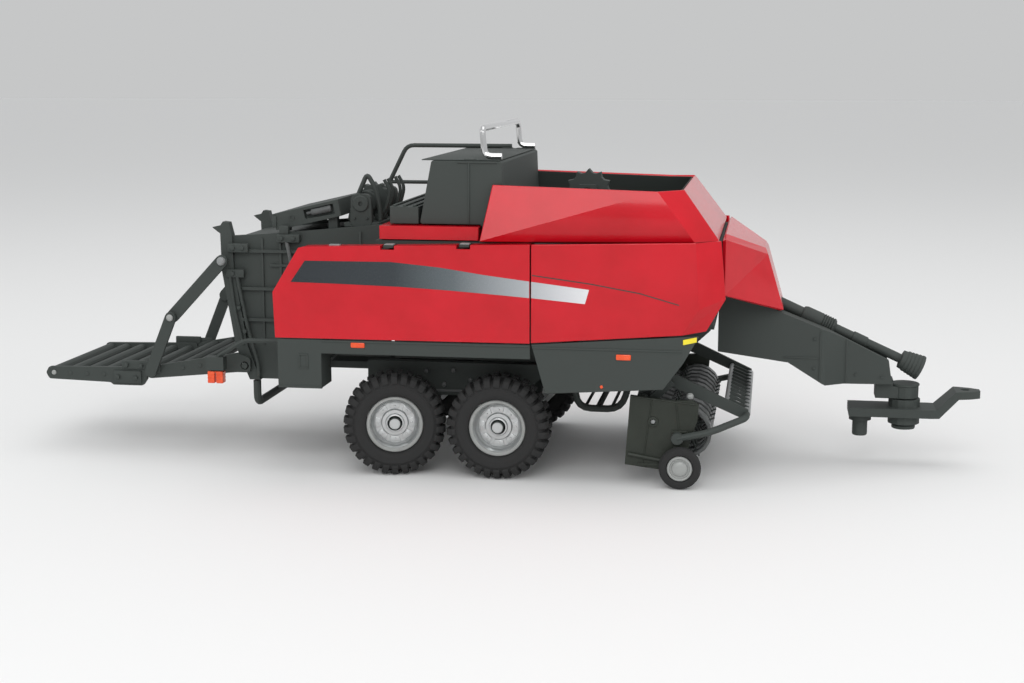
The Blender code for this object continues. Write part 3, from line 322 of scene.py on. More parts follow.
def spun(profile, centre, steps=48):
    """A ring spun about the Y axis from a closed profile of (radius, offset along Y)."""
    centre = Vector(centre)
    piece = drawn([centre + Vector((radius, offset, 0.0)) for radius, offset in profile], closed=True)
    return turned(piece, centre, (0.0, 1.0, 0.0), steps)


def spun_up(profile, centre):
    """A ring or solid spun about a vertical axis from a closed profile of (radius, height)."""
    piece = drawn([(centre[0] + radius, centre[1], z) for radius, z in profile], closed=True)
    return turned(piece, (*centre, 0.0), (0.0, 0.0, 1.0), 36)


def drawn_off(points):
    """An open route of edges, left in object mode."""
    piece = drawn(points)
    deselect()
    return piece


def sheet_of(outline, depth, soft=0.0):
    """A flat outline of 3-D points, filled and pulled out along a vector, in millimetres."""
    piece = drawn(outline, closed=True)
    bpy.ops.mesh.select_all(action="SELECT")
    bpy.ops.mesh.edge_face_add()
    bpy.ops.mesh.extrude_region_move(TRANSFORM_OT_translate={"value": Vector(depth) * MM})
    bpy.ops.mesh.select_all(action="SELECT")
    bpy.ops.mesh.normals_make_consistent(inside=False)
    if soft:
        bpy.ops.mesh.bevel(offset=soft * MM, segments=2, affect="EDGES")
    deselect()
    return piece


def rounded(points, bend, steps=4):
    """A route with its inner corners rounded."""
    route = [Vector(points[0])]
    for before, here, after in zip(points, points[1:], points[2:]):
        here = Vector(here)
        back, ahead = Vector(before) - here, Vector(after) - here
        reach = min(bend, back.length * 0.45, ahead.length * 0.45)
        first, last = here + back.normalized() * reach, here + ahead.normalized() * reach
        for step in range(steps + 1):
            t = step / steps
            route.append(first * (1 - t) ** 2 + here * 2 * t * (1 - t) + last * t ** 2)
    return [*route, Vector(points[-1])]


def wire(points, radius, bend=2.0):
    """A bent round wire along a route, in millimetres."""
    piece = drawn(rounded(points, bend))
    deselect()
    only(piece)
    bpy.ops.object.convert(target="CURVE")
    curve = piece.data
    curve.dimensions = "3D"
    curve.bevel_depth = radius * MM
    curve.bevel_resolution = 3
    curve.use_fill_caps = True
    bpy.ops.object.convert(target="MESH")
    in_edit(bpy.context.object)
    bpy.ops.mesh.remove_doubles(threshold=0.000002)
    bpy.ops.mesh.normals_make_consistent(inside=False)
    deselect()
    return piece


def copied(piece, matrix):
    """A copy with its own mesh, moved by a matrix in metres."""
    twin = piece.copy()
    twin.data = piece.data.copy()
    bpy.context.collection.objects.link(twin)
    twin.data.transform(matrix)
    if matrix.determinant() < 0:
        twin.data.flip_normals()
    return twin


def joined(pieces):
    """Several pieces as one object."""
    deselect()
    for piece in pieces:
        piece.select_set(True)
    bpy.context.view_layer.objects.active = pieces[0]
    if len(pieces) > 1:
        bpy.ops.object.join()
    return bpy.context.object


def around(piece, centre, count, axis="Y", start=0.0):
    """A piece and its copies spaced round an axis through a centre in millimetres, as a list."""
    centre = Matrix.Translation(Vector(centre) * MM)
    turns = [centre @ Matrix.Rotation(start + math.tau * k / count, 4, axis) @ centre.inverted()
             for k in range(count)]
    twins = [copied(piece, turn) for turn in turns]
    bpy.data.objects.remove(piece, do_unlink=True)
    return twins


def settle(name, piece, look, body, *nodes):
    """Name, colour and shade a finished piece and let it ride on its body."""
    only(piece)
    piece.name = piece.data.name = name
    piece.data.materials.clear()
    piece.data.materials.append(finish(look) if isinstance(look, str) else look)
    bpy.ops.object.shade_smooth_by_angle(angle=math.radians(34.0))
    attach(piece, body)
    if nodes:
        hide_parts(*nodes)
    deselect()
    return piece


def settle_pair(name, piece, look, body="frame"):
    """A right-hand piece and its mirror image; the body's name may end with the side."""
    bodies = frame["bodies"]
    for side, sign in SIDES:
        own = body if body in bodies else f"{body}_{side}"
        twin = piece if sign < 0 else copied(piece, FLIP_Y)
        if sign < 0:
            twin = copied(piece, Matrix.Identity(4))
        settle(f"{name}_{side}", twin, look, own)
    bpy.data.objects.remove(piece, do_unlink=True)


# ---------------------------------------------------------------- operators

class PieceOperator(bpy.types.Operator):
    """Base of the baler's operators: execute calls make and reports that it finished."""
    bl_idname = "baler.piece"
    bl_label = "Baler Piece"
    bl_options = {"REGISTER", "UNDO"}

    def make(self):
        raise NotImplementedError

    def execute(self, context):
        self.make()
        return {"FINISHED"}


class BALER_OT_frame(PieceOperator):
    """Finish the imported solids: their material and softly rounded edges."""
    bl_idname = "baler.frame"
    bl_label = "Frame Finish"

    def make(self):
        width = bpy.context.scene.baler_looks.edge_round
        for name, node in frame["nodes"].items():
            keys = sorted((key for key in PLAIN_NODES if name.startswith(key)), key=len)
            for material_slot in node.material_slots:
                material_slot.material = finish(PLAIN_NODES[keys[-1]])
            weld = node.modifiers.new("weld", "WELD")
            weld.merge_threshold = 0.000002
            edge = node.modifiers.new("soft_edges", "BEVEL")
            edge.width = width
            edge.segments = 2
            edge.limit_method = "ANGLE"
            edge.angle_limit = math.radians(38.0)
            edge.harden_normals = False


class BALER_OT_stripes(PieceOperator):
    """The side stripe and the fine line above it, on the rear doors and front panels."""
    bl_idname = "baler.stripes"
    bl_label = "Side Stripes"

    def make(self):
        stripe = stripe_finish()
        face, depth = -BODY_Y + 0.03, (0.0, -0.08, 0.0)
        door = [(-54.4, 66.2), (-28.0, 66.3), (-13.0, 64.9), (0.5, 62.9), (13.7, 61.3), (13.7, 56.4),
                (4.6, 57.1), (-10.0, 58.1), (-25.2, 58.9), (-43.6, 59.4), (-58.9, 59.7)]
        front = [(14.3, 61.25), (31.4, 59.2), (30.2, 55.0), (14.3, 56.4)]
        line = [(14.5, 63.3), (31.7, 61.1), (46.3, 58.6), (57.7, 55.4)]
        line += [(x, z - 0.32) for x, z in reversed(line)]
        for name, outline, look, body in (("stripe_rear", door, stripe, "rear_door"),
                                          ("stripe_front", front, stripe, "frame"),
                                          ("fine_line", line, "charcoal", "frame")):
            piece = sheet_of([(x, face, z) for x, z in outline], depth)
            settle_pair(name, piece, look, body)


def wheel_place(axle, side):
    """The matrix that takes a wheel made at the origin, facing right, to its axle."""
    x = FRONT_AXLE_X if axle == "front" else REAR_AXLE_X
    place = Matrix.Translation(Vector((x, side * WHEEL_Y, 0.0)) * MM)
    if side > 0:
        place = place @ FLIP_Y
    if axle == "rear":
        pin = Matrix.Translation(Vector((x, side * KINGPIN_Y, 0.0)) * MM)
        place = pin @ Matrix.Rotation(math.radians(STEER_REST), 4, "Z") @ pin.inverted() @ place
    return place


def on_wheels(name, node, piece, look):
    """Copies of a wheel piece on all four axles."""
    for axle in ("front", "rear"):
        for side_name, side in SIDES:
            twin = copied(piece, wheel_place(axle, side))
            nodes = [f"{node}_{axle}_{side_name}"] if node else []
            settle(f"{name}_{axle}_{side_name}", twin, look, f"wheel_{axle}_{side_name}", *nodes)
    bpy.data.objects.remove(piece, do_unlink=True)


class BALER_OT_tyres(PieceOperator):
    """Tyres with block lugs on both shoulders."""
    bl_idname = "baler.tyres"
    bl_label = "Tyres"

    def make(self):
        centre = (0.0, 0.0, AXLE_HEIGHT)
        half = [(8.75, 4.4), (9.1, 5.9), (9.6, 6.25), (10.6, 6.5), (11.9, 6.55), (12.3, 6.25), (13.2, 6.1),
                (14.0, 5.4), (14.5, 3.6), (14.6, 1.2)]
        carcass = spun(half + [(r, -y) for r, y in reversed(half)], centre, 60)
        count = bpy.context.scene.baler_looks.lug_count
        lug = sheet_of([(-0.95, y, AXLE_HEIGHT + z) for y, z in (
            (-1.5, 14.2), (-1.5, 15.5), (-4.5, 15.65), (-5.9, 14.95), (-6.6, 13.2), (-6.3, 12.5),
            (-4.0, 13.6))], (1.95, 0.0, 0.0), 0.2)
        rib = block((-0.6, -1.1, AXLE_HEIGHT + 14.2), (0.75, 1.1, AXLE_HEIGHT + 15.45), 0.2)
        far = copied(lug, FLIP_Y)
        lugs = around(lug, centre, count) + around(rib, centre, count, start=math.pi / count)
        lugs += around(far, centre, count, start=math.pi / count)
        on_wheels("lugged_tyre", "tyre", joined([carcass, *lugs]), "rubber")


class BALER_OT_rims(PieceOperator):
    """Deep wheel rims with a ring coloured lighter than the disc as a painted highlight on the lip, a dished
    disc with pads and nuts, and a stepped hub.
    """
    bl_idname = "baler.rims"
    bl_label = "Wheel Rims"

    def make(self):
        centre = (0.0, 0.0, AXLE_HEIGHT)
        barrel = [(2.3, 3.7), (3.4, 3.7), (3.4, 0.9), (7.0, 0.9), (7.0, 4.7), (8.45, 4.7), (8.45, -3.9),
                  (7.6, -3.9), (7.35, -3.2), (7.15, -1.5), (6.5, -0.8), (6.2, -1.2), (4.2, -1.35),
                  (3.9, -2.1), (2.95, -2.2), (2.7, -2.9), (2.3, -3.0)]
        disc = spun(barrel, centre, 60)
        pad = sheet_of([(-1.25, -1.15, AXLE_HEIGHT + 4.3), (1.25, -1.15, AXLE_HEIGHT + 4.3),
                        (1.75, -1.1, AXLE_HEIGHT + 6.0), (-1.75, -1.1, AXLE_HEIGHT + 6.0)],
                       (0.0, -0.55, 0.0), 0.15)
        nut = bar((0.0, -1.5, AXLE_HEIGHT + 5.1), (0.0, -2.1, AXLE_HEIGHT + 5.1), 0.42, 0.36, 0.08, 6)
        pads = around(pad, centre, 8) + around(nut, centre, 8)
        cap = spun([(0.0, -4.2), (1.0, -4.45), (1.55, -4.35), (1.7, -4.18), (0.0, -4.15)], centre, 32)
        on_wheels("rim_disc", "rim", joined([disc, *pads, cap]), "silver")
        # The outer ring of the same rim gets the lighter white finish: a painted highlight on its lip.
        ring = [(8.7, -4.1), (8.7, -4.55), (8.5, -4.78), (7.8, -4.78), (7.55, -4.5), (7.5, -3.95),
                (8.4, -3.95)]
        on_wheels("rim_ring", None, spun(ring, centre, 60), "white")


class BALER_OT_gauge_wheels(PieceOperator):
    """The small wheels of the pickup: tyre, bright rim ring and domed hub."""
    bl_idname = "baler.gauge_wheels"
    bl_label = "Gauge Wheels"

    def make(self):
        centre = (GAUGE[0], -GAUGE[1], GAUGE[2])
        half = [(3.8, 0.9), (4.15, 1.5), (4.9, 1.7), (5.7, 1.5), (6.2, 0.9)]
        tyre = spun(half + [(6.3, 0.0)] + [(r, -y) for r, y in reversed(half)], centre, 40)
        rim = spun([(1.3, 1.1), (3.75, 1.1), (3.75, -1.2), (3.5, -1.45), (3.1, -1.4), (2.9, -0.85),
                    (2.45, -0.8), (2.2, -1.25), (1.3, -1.3)], centre, 40)
        hub = spun([(0.0, -1.15), (2.0, -1.2), (2.05, -1.4), (1.5, -1.66), (0.7, -1.74), (0.0, -1.75)],
                   centre, 32)
        for side_name, side in SIDES:
            turn = Matrix.Identity(4) if side < 0 else FLIP_Y
            body = f"gauge_wheel_{side_name}"
            settle(f"gauge_tyre_{side_name}", copied(tyre, turn), "rubber", body, body)
            settle(f"gauge_rim_{side_name}", copied(rim, turn), "white", body)
            settle(f"gauge_hub_{side_name}", copied(hub, turn), "white", body)
        for piece in (tyre, rim, hub):
            bpy.data.objects.remove(piece, do_unlink=True)


class BALER_OT_markers(PieceOperator):
    """Orange and yellow reflectors on the skirts, and the ribbed lenses of the tail lamps."""
    bl_idname = "baler.markers"
    bl_label = "Reflectors"

    def make(self):
        for name, x0, x1, z0, z1 in (("marker_rear", -40.6, -36.3, 40.1, 41.7),
                                     ("marker_front", 39.5, 43.9, 38.6, 40.3)):
            piece = block((x0, -BODY_Y - 0.4, z0), (x1, -BODY_Y + 0.2, z1), 0.32)
            settle_pair(name, piece, "orange")
        z0, z1, along, out = 44.0, 45.5, Vector((0.906, 0.424, 0.0)), Vector((0.424, -0.906, 0.0))
        start = Vector((58.9, -BODY_Y, 0.0)) - out * 0.15
        corners = [start + along * s + Vector((0.0, 0.0, z)) for s, z in (
            (0.1, z0 - 0.4), (4.3, z0 + 0.2), (4.3, z1 + 0.2), (0.1, z1 - 0.4))]
        settle_pair("marker_yellow", sheet_of(corners, out * 0.5, 0.1), "yellow")
        dot = bar((35.3, -BODY_Y + 0.1, 30.4), (35.3, -BODY_Y - 0.3, 30.4), 0.55, 0.35, 0.1)
        settle_pair("marker_dot", dot, "orange")
        ribs = [block((x - 1.15, -32.5, z), (x + 1.15, -29.5, z + 0.45), 0.15)
                for x in (-89.9, -87.1) for z in (25.4, 26.4, 27.4)]
        settle_pair("lamp_ribs", joined(ribs), "orange")


class BALER_OT_rails(PieceOperator):
    """Smooth bent wires: grab handle, platform rail, twine loop and the guards below."""
    bl_idname = "baler.rails"
    bl_label = "Rails and Guards"

    def make(self):
        foot, top = 97.2, 105.4
        handle = wire([(3.6, -34.0, foot), (-1.6, -34.0, foot), (-2.3, -34.0, top), (-2.3, 34.0, top),
                       (-1.6, 34.0, foot), (3.6, 34.0, foot)], 0.95, 2.2)
        settle("bright_handle", handle, "chrome", "frame", "grab_handle")
        y, z = 34.5, 97.0
        rail = [wire([(-4.5, y, z), (-41.0, y, z), (-49.0, y, 81.0), (-51.5, y, 74.2), (-51.5, 21.4, 72.6)],
                     0.75, 2.5),
                wire([(-46.9, y, 84.4), (-20.4, y, 84.4)], 0.65)]
        settle("bent_rail", joined(rail), "charcoal", "frame", "platform_rail")
        y, base = -14.0, 75.6
        loop = wire([(-48.7, y, base), (-47.9, y, 79.0), (-42.9, y, 90.4), (-40.4, y, 86.0), (-39.0, y, 80.0),
                     (-38.9, y, base)], 0.75, 1.8)
        settle("bent_loop", loop, "charcoal", "frame", "twine_loop")
        y = 20.0
        hoops = [wire([(23.6, side * y, 32.5), (25.0, side * y, 18.4), (39.0, side * y, 18.4),
                       (41.6, side * y, 28.0)], 1.1, 4.5) for _name, side in SIDES]
        hoops.append(bar((31.5, -y, 18.4), (31.5, y, 18.4), 0.95, soft=0.1))
        hoops += [bar((x, -y + 0.6, 18.6), (x, y - 0.6, 18.6), 0.5, soft=0.1) for x in (27.5, 35.8)]
        settle("bent_hoops", joined(hoops), "charcoal", "frame", "needle_guard")
        y = 20.6
        guard = wire([(-78.6, -y, 24.1), (-78.6, -y, 16.8), (-78.6, y, 16.8), (-78.6, y, 24.1)], 1.3, 3.2)
        settle("bent_guard", guard, "charcoal", "frame", "rear_guard")


class BALER_OT_covers(PieceOperator):
    """Seams, ledges and clips of the upper covers, the dark lining of the front housing, and a painted
    highlight on the rear door's flange.
    """
    bl_idname = "baler.covers"
    bl_label = "Cover Details"

    def make(self):
        seam = joined([block((-6.15, -36.95, 76.9), (-5.75, -36.5, 95.3), 0.08),
                       block((-9.5, -37.0, 95.2), (2.6, -36.4, 95.75), 0.12),
                       block((-7.6, -36.2, 95.85), (-4.2, -33.2, 96.5), 0.2),
                       block((-2.9, -36.2, 95.85), (0.6, -33.4, 96.4), 0.2)])
        settle_pair("cover_seams", seam, "charcoal")
        ribs = [block((x, -36.0, 82.0), (x + 1.0, 36.0, 82.5), 0.15) for x in (-29.6, -26.4, -23.4)]
        settle("cover_ribs", joined(ribs), "charcoal", "frame")
        bead = block((-20.4, -36.4, 95.95), (3.4, 36.4, 96.25), 0.12)
        settle("cover_top", bead, "charcoal", "frame")
        inset = (((-0.7, 41.7, 73.4), (1.9, 36.9, 88.5)), ((60.7, 41.7, 73.9), (49.8, 36.8, 87.1)),
                 ((67.0, 37.8, 74.3), (56.8, 32.9, 87.3)))
        base = [a for a, _b in inset] + [(a[0], -a[1], a[2]) for a, _b in reversed(inset)]
        rim = [b for _a, b in inset] + [(b[0], -b[1], b[2]) for _a, b in reversed(inset)]
        lining = joined([drawn_off(base), drawn_off(rim)])
        in_edit(lining)
        bpy.ops.mesh.bridge_edge_loops()
        deselect()
        applied(lining, "SOLIDIFY", thickness=0.00025, offset=0.0)
        settle("housing_lining", lining, "charcoal", "frame")
        tray = block((2.4, -40.4, 72.2), (60.0, 40.4, 72.75), 0.15)
        settle("housing_floor", tray, "charcoal", "frame")
        tabs = [block((x - 1.4, -44.0, z - 0.12), (x + 1.4, -40.9, z + 0.28), 0.12)
                for x, z in ((-29.0, 71.09), (-6.0, 71.65))]
        settle_pair("hinge_tabs", joined(tabs), "pale")
        # A pale chip on top of the rear door's flange: a painted highlight, not a part.
        highlight_chip = block((-47.5, -43.6, 70.55), (-44.3, -41.6, 70.95), 0.1)
        settle_pair("door_catch", highlight_chip, "pale", "rear_door")


class BALER_OT_chamber(PieceOperator):
    """Brackets, bolts, rods and density gear of the bale chamber and knotter."""
    bl_idname = "baler.chamber"
    bl_label = "Chamber Details"

    def make(self):
        bracket = [block((-87.0, -23.4, 57.6), (-81.2, -22.1, 60.2), 0.25),
                   block((-86.4, -23.6, 65.6), (-79.6, -22.0, 68.4), 0.3),
                   block((-70.2, -23.4, 69.0), (-62.8, -20.8, 71.6), 0.3),
                   block((-69.4, -23.0, 71.6), (-66.4, -20.9, 74.2), 0.3)]
        bracket += [bar((x, -22.0, z), (x, -24.2, z), r, soft=0.15, sides=6) for x, z, r in (
            (-84.9, 58.9, 0.8), (-84.6, 67.0, 0.8), (-81.4, 67.0, 0.7), (-68.6, 70.3, 0.75),
            (-64.6, 70.3, 0.7), (-83.0, 48.0, 0.7), (-81.2, 40.4, 0.7))]
        bracket.append(wire([(-83.6, -22.9, 57.8), (-80.6, -22.9, 42.0), (-77.4, -22.9, 30.0),
                             (-77.2, -22.9, 26.0)], 0.6, 3.0))
        bracket.append(wire([(-86.2, -22.8, 60.0), (-84.6, -22.8, 47.0), (-82.2, -22.8, 36.0)], 0.5, 3.0))
        settle_pair("chamber_brackets", joined(bracket), "charcoal")
        rod = wire([(-67.3, -22.6, 70.0), (-66.2, -22.6, 64.6), (-65.4, -22.6, 58.0)], 0.6, 2.0)
        settle_pair("density_rod", rod, "grey")
        ribs = [block((x, -21.6, 36.0), (x + 0.8, -20.9, z), 0.15)
                for x, z in ((-76.0, 70.0), (-70.0, 68.6), (-44.0, 72.6))]
        ribs.append(block((-73.0, -21.7, 61.0), (-36.0, -20.9, 61.9), 0.15))
        settle_pair("chamber_ribs", joined(ribs), "charcoal")
        ram = [bar((-59.6, -19.7, 78.35), (-53.2, -19.7, 79.75), 1.05, soft=0.2),
               bar((-61.2, -19.7, 78.0), (-59.4, -19.7, 78.4), 0.5, soft=0.1)]
        settle_pair("density_ram", joined(ram), "grey")
        ring = spun([(0.55, -0.12), (0.95, -0.12), (0.95, 0.15), (0.55, 0.15)], (-66.0, -20.5, 76.6), 24)
        edge = block((-72.2, -20.9, 73.4), (-70.9, -20.3, 77.0), 0.15)
        settle_pair("beam_ring", joined([ring, edge]), "charcoal")
        x, z = -43.9, 81.2
        boss = spun([(0.7, -0.3), (2.3, -0.3), (2.6, 0.0), (2.6, 0.3), (0.7, 0.3)], (x, -19.0, z), 28)
        bolts = [bar((x + dx, -18.6, z + dz), (x + dx, -19.3, z + dz), 0.4, soft=0.08, sides=6)
                 for dx, dz in ((-2.0, -4.6), (2.0, -4.6))]
        settle_pair("bearing_boss", joined([boss, *bolts]), "charcoal")
        needles = []
        for y in (-10.0, -5.0, 5.0, 10.0):
            needles.append(wire([(-40.2, y, 75.4), (-37.6, y, 79.6), (-36.4, y, 84.6),
                                 (-38.4, y, 88.2)], 0.55, 2.0))
            needles.append(block((-41.4, y - 1.0, 75.3), (-38.8, y + 1.0, 77.2), 0.25))
        settle("knotter_arms", joined(needles), "charcoal", "frame")
        discs = []
        for y in (-11.6, -7.4, 7.4, 11.6):
            discs.append(spun([(1.9, -0.5), (3.3, -0.5), (3.6, -0.2), (3.6, 0.2), (3.3, 0.5), (1.9, 0.5)],
                              (x, y, z), 28))
        settle("knotter_discs", joined(discs), "charcoal", "knotter_rotor")


class BALER_OT_chute(PieceOperator):
    """Bolted plates, roller ends and pins of the bale chute and its stays."""
    bl_idname = "baler.chute"
    bl_label = "Chute Details"

    def make(self):
        joint = [block((-125.6, -24.9, 22.6), (-116.2, -24.1, 26.6), 0.25),
                 block((-122.8, -24.7, 27.2), (-113.6, -23.6, 30.0), 0.3),
                 block((-114.4, -24.8, 26.2), (-109.6, -24.1, 29.6), 0.3)]
        joint += [bar((x, -24.6, z), (x, -25.6, z), 0.75, soft=0.15, sides=6)
                  for x, z in ((-124.0, 24.6), (-118.0, 24.4), (-121.0, 28.6), (-116.0, 28.4))]
        settle_pair("chute_brackets", joined(joint), "charcoal", "chute")
        ends = [bar((x, -24.0, z), (x, -24.45, z), 0.8, 0.65, 0.12) for x, z in (
            (-96.4, 29.0), (-102.2, 28.1), (-129.1, 25.2), (-134.9, 25.2), (-140.7, 25.2))]
        settle_pair("roller_ends", joined(ends), "charcoal", "chute")
        dot = bar((-146.3, -24.0, 25.3), (-146.3, -24.6, 25.3), 0.85, 0.7, 0.15)
        settle_pair("end_pin", dot, "white", "chute")
        cross = [bar((x, -22.6, z), (x, 22.6, z), 0.75, soft=0.1) for x, z in ((-112.9, 25.4), (-86.5, 28.6))]
        cross += [block((x, -22.6, z), (x + 1.6, 22.6, z + 0.8), 0.2)
                  for x, z in ((-126.6, 22.9), (-138.2, 23.4))]
        settle("chute_cross", joined(cross), "charcoal", "chute")
        # The knob is charcoal; its pale colour is a painted highlight on its dome.
        knob = bar((-87.7, -25.7, 63.0), (-87.7, -27.0, 63.0), 1.55, 1.1, 0.3)
        settle_pair("stay_knob", knob, "pale", "stay_upper")
        cap = bar((-104.7, -27.8, 44.8), (-104.7, -28.35, 44.8), 1.2, 0.8, 0.15)
        settle_pair("stay_cap", cap, "white", "stay_lower")


class BALER_OT_running_gear(PieceOperator):
    """Bolts and edges of the tandem frame between the wheels."""
    bl_idname = "baler.running_gear"
    bl_label = "Running Gear"

    def make(self):
        bolts = [bar((x, -24.0, z), (x, -25.0, z), 0.75, soft=0.15, sides=6)
                 for x, z in ((-13.4, 30.0), (-16.4, 25.4), (-22.0, 29.6), (-8.0, 27.0))]
        bolts.append(block((-27.0, -24.6, 23.0), (-3.4, -24.1, 23.8), 0.15))
        settle_pair("tandem_bolts", joined(bolts), "grey")


class BALER_OT_skirts(PieceOperator):
    """Folded edges of the dark skirts and the edges round the locker's recess."""
    bl_idname = "baler.skirts"
    bl_label = "Skirt Details"

    def make(self):
        face = -BODY_Y
        edges = [block((-49.6, face - 0.22, 41.6), (13.6, face + 0.1, 42.2), 0.12),
                 block((14.6, face - 0.22, 41.3), (58.6, face + 0.1, 41.9), 0.12),
                 block((-63.3, face - 0.2, 27.3), (-50.0, face + 0.1, 27.9), 0.1)]
        edges += [block((x, face - 0.25, z0), (x + w, face + 0.1, z1), 0.12) for x, w, z0, z1 in (
            (-57.0, 3.0, 37.4, 37.9), (-57.0, 0.5, 33.4, 37.4),
            (-54.5, 0.5, 33.4, 37.4), (-57.0, 3.0, 33.2, 33.7))]
        settle_pair("skirt_edges", joined(edges), "charcoal")


class BALER_OT_pickup(PieceOperator):
    """Fold lines, lip, boss and knob of the pickup shields, and the pale bars of the wind guard."""
    bl_idname = "baler.pickup"
    bl_label = "Pickup Details"

    def make(self):
        y = -41.05
        folds = [wire([(x0, y, z0), (x1, y, z1)], 0.24) for x0, z0, x1, z1 in (
            (49.9, 26.2, 47.4, 6.6), (57.0, 25.6, 58.6, 13.0), (43.9, 26.9, 62.9, 24.9))]
        folds.append(wire([(43.0, y - 0.1, 9.4), (52.6, y - 0.1, 7.8)], 0.7))
        folds.append(spun([(0.9, -0.4), (1.5, -0.3), (1.7, 0.2), (0.9, 0.2)], (50.3, y, 19.4), 24))
        folds += [block((56.0, y - 0.5, 16.2), (60.6, y + 0.1, 17.0), 0.15),
                  block((46.0, y - 0.35, 5.9), (53.4, y + 0.1, 6.7), 0.15)]
        settle_pair("shield_folds", joined(folds), "olive", "pickup")
        boss = bar((50.3, y + 0.1, 19.4), (50.3, y - 0.45, 19.4), 0.8, 0.45, 0.15)
        settle_pair("shield_boss", boss, "pale", "pickup")
        knob = spun([(0.0, -1.0), (0.7, -0.8), (1.05, 0.0), (0.7, 0.8), (0.0, 1.0)], (61.0, -38.4, 26.9), 20)
        settle_pair("pickup_knob", knob, "white", "pickup")
        x, z = 77.6, 21.0
        bars = [bar((x, -33.6, z), (x, 33.6, z), 1.2, soft=0.15),
                bar((x - 6.0, -32.8, z + 2.6), (x - 6.0, 32.8, z + 2.6), 0.78, soft=0.1)]
        settle("guard_bars", joined(bars), "pale", "pickup")
        fingers = [wire([(x - 5.6, k * 5.6, z + 2.9), (x - 2.6, k * 5.6, z + 2.1),
                         (x - 0.6, k * 5.6, z + 1.0)], 0.42, 1.0) for k in range(-5, 6)]
        settle("guard_fingers", joined(fingers), "charcoal", "pickup")
        arm = [wire([(57.6, -42.4, 14.8), (67.0, -42.4, 17.0), (x, -37.0, z - 0.4), (x, -33.2, z)],
                    1.05, 3.0),
               spun([(0.6, -0.9), (1.7, -0.9), (1.9, -0.4), (1.9, 0.9), (0.6, 0.9)], (57.6, -42.3, 14.8), 24)]
        settle_pair("guard_brace", joined(arm), "charcoal", "pickup")


class BALER_OT_drawbar(PieceOperator):
    """The drive shaft with its bellows, and the seams, bolts and collars of the drawbar and hitch."""
    bl_idname = "baler.drawbar"
    bl_label = "Drawbar and Drive"

    def make(self):
        run = (PTO_END - PTO_START).normalized()
        across = Vector((0.0, 1.0, 0.0))
        lift = run.cross(across)
        profile = [(0.0, -3.9), (1.8, -3.9), (1.8, 5.4), (2.3, 5.6), (2.65, 6.6), (2.7, 12.0)]
        for k in range(5):
            at = 12.2 + 0.8 * k
            profile += [(2.45, at), (2.75, at + 0.2), (2.75, at + 0.5)]
        profile += [(2.2, 16.5), (1.45, 16.8), (1.45, 22.6), (1.75, 22.8), (1.75, 27.4), (1.45, 27.6),
                    (1.45, 39.0), (2.9, 39.3), (3.0, 40.4)]
        for k in range(5):
            at, radius = 40.6 + 1.1 * k, 3.1 + 0.16 * k
            profile += [(radius, at), (radius + 0.22, at + 0.25), (radius + 0.22, at + 0.7)]
        profile += [(3.9, 46.1), (3.4, 46.27), (0.0, 46.27)]
        points = [PTO_START + run * along - lift * radius for radius, along in profile]
        shaft = turned(drawn(points, closed=True), PTO_START, run, 36)
        settle("drive_shaft", shaft, "charcoal", "pto_shaft", "pto_shaft")
        ribs = [block((99.2, -11.2, 27.8), (99.7, -10.9, 43.0), 0.1),
                block((107.4, -6.62, 26.3), (107.9, -6.3, 39.6), 0.1),
                block((88.4, -11.25, 34.4), (99.0, -10.9, 34.9), 0.1)]
        ribs += [bar((x, -r + 0.1, z), (x, -r - 0.35, z), 0.5, soft=0.1, sides=6)
                 for x, z, r in ((97.6, 31.4, 11.0), (97.6, 40.6, 11.0),
                                 (110.6, 29.0, 6.4), (118.6, 28.4, 6.4))]
        settle_pair("drawbar_ribs", joined(ribs), "charcoal")
        collar = spun_up([(1.9, 24.9), (4.35, 24.9), (4.55, 25.1), (4.55, 25.5), (4.2, 25.75), (0.0, 25.75),
                          (0.0, 25.3), (1.9, 25.3)], (HITCH_X, 0.0))
        foot = spun_up([(2.0, 11.2), (3.5, 11.3), (3.65, 11.6), (3.65, 12.2), (3.4, 12.5), (2.0, 12.5)],
                       (HITCH_X, 0.0))
        settle("hitch_collar", joined([collar, foot]), "charcoal", "frame")
        pad = spun_up([(0.0, 8.55), (1.9, 8.6), (2.35, 8.9), (2.35, 13.4), (3.45, 13.6), (3.45, 15.4),
                       (0.0, 15.4)], (STAND_X, 0.0))
        settle("stand_foot", pad, "charcoal", "hitch_plate")


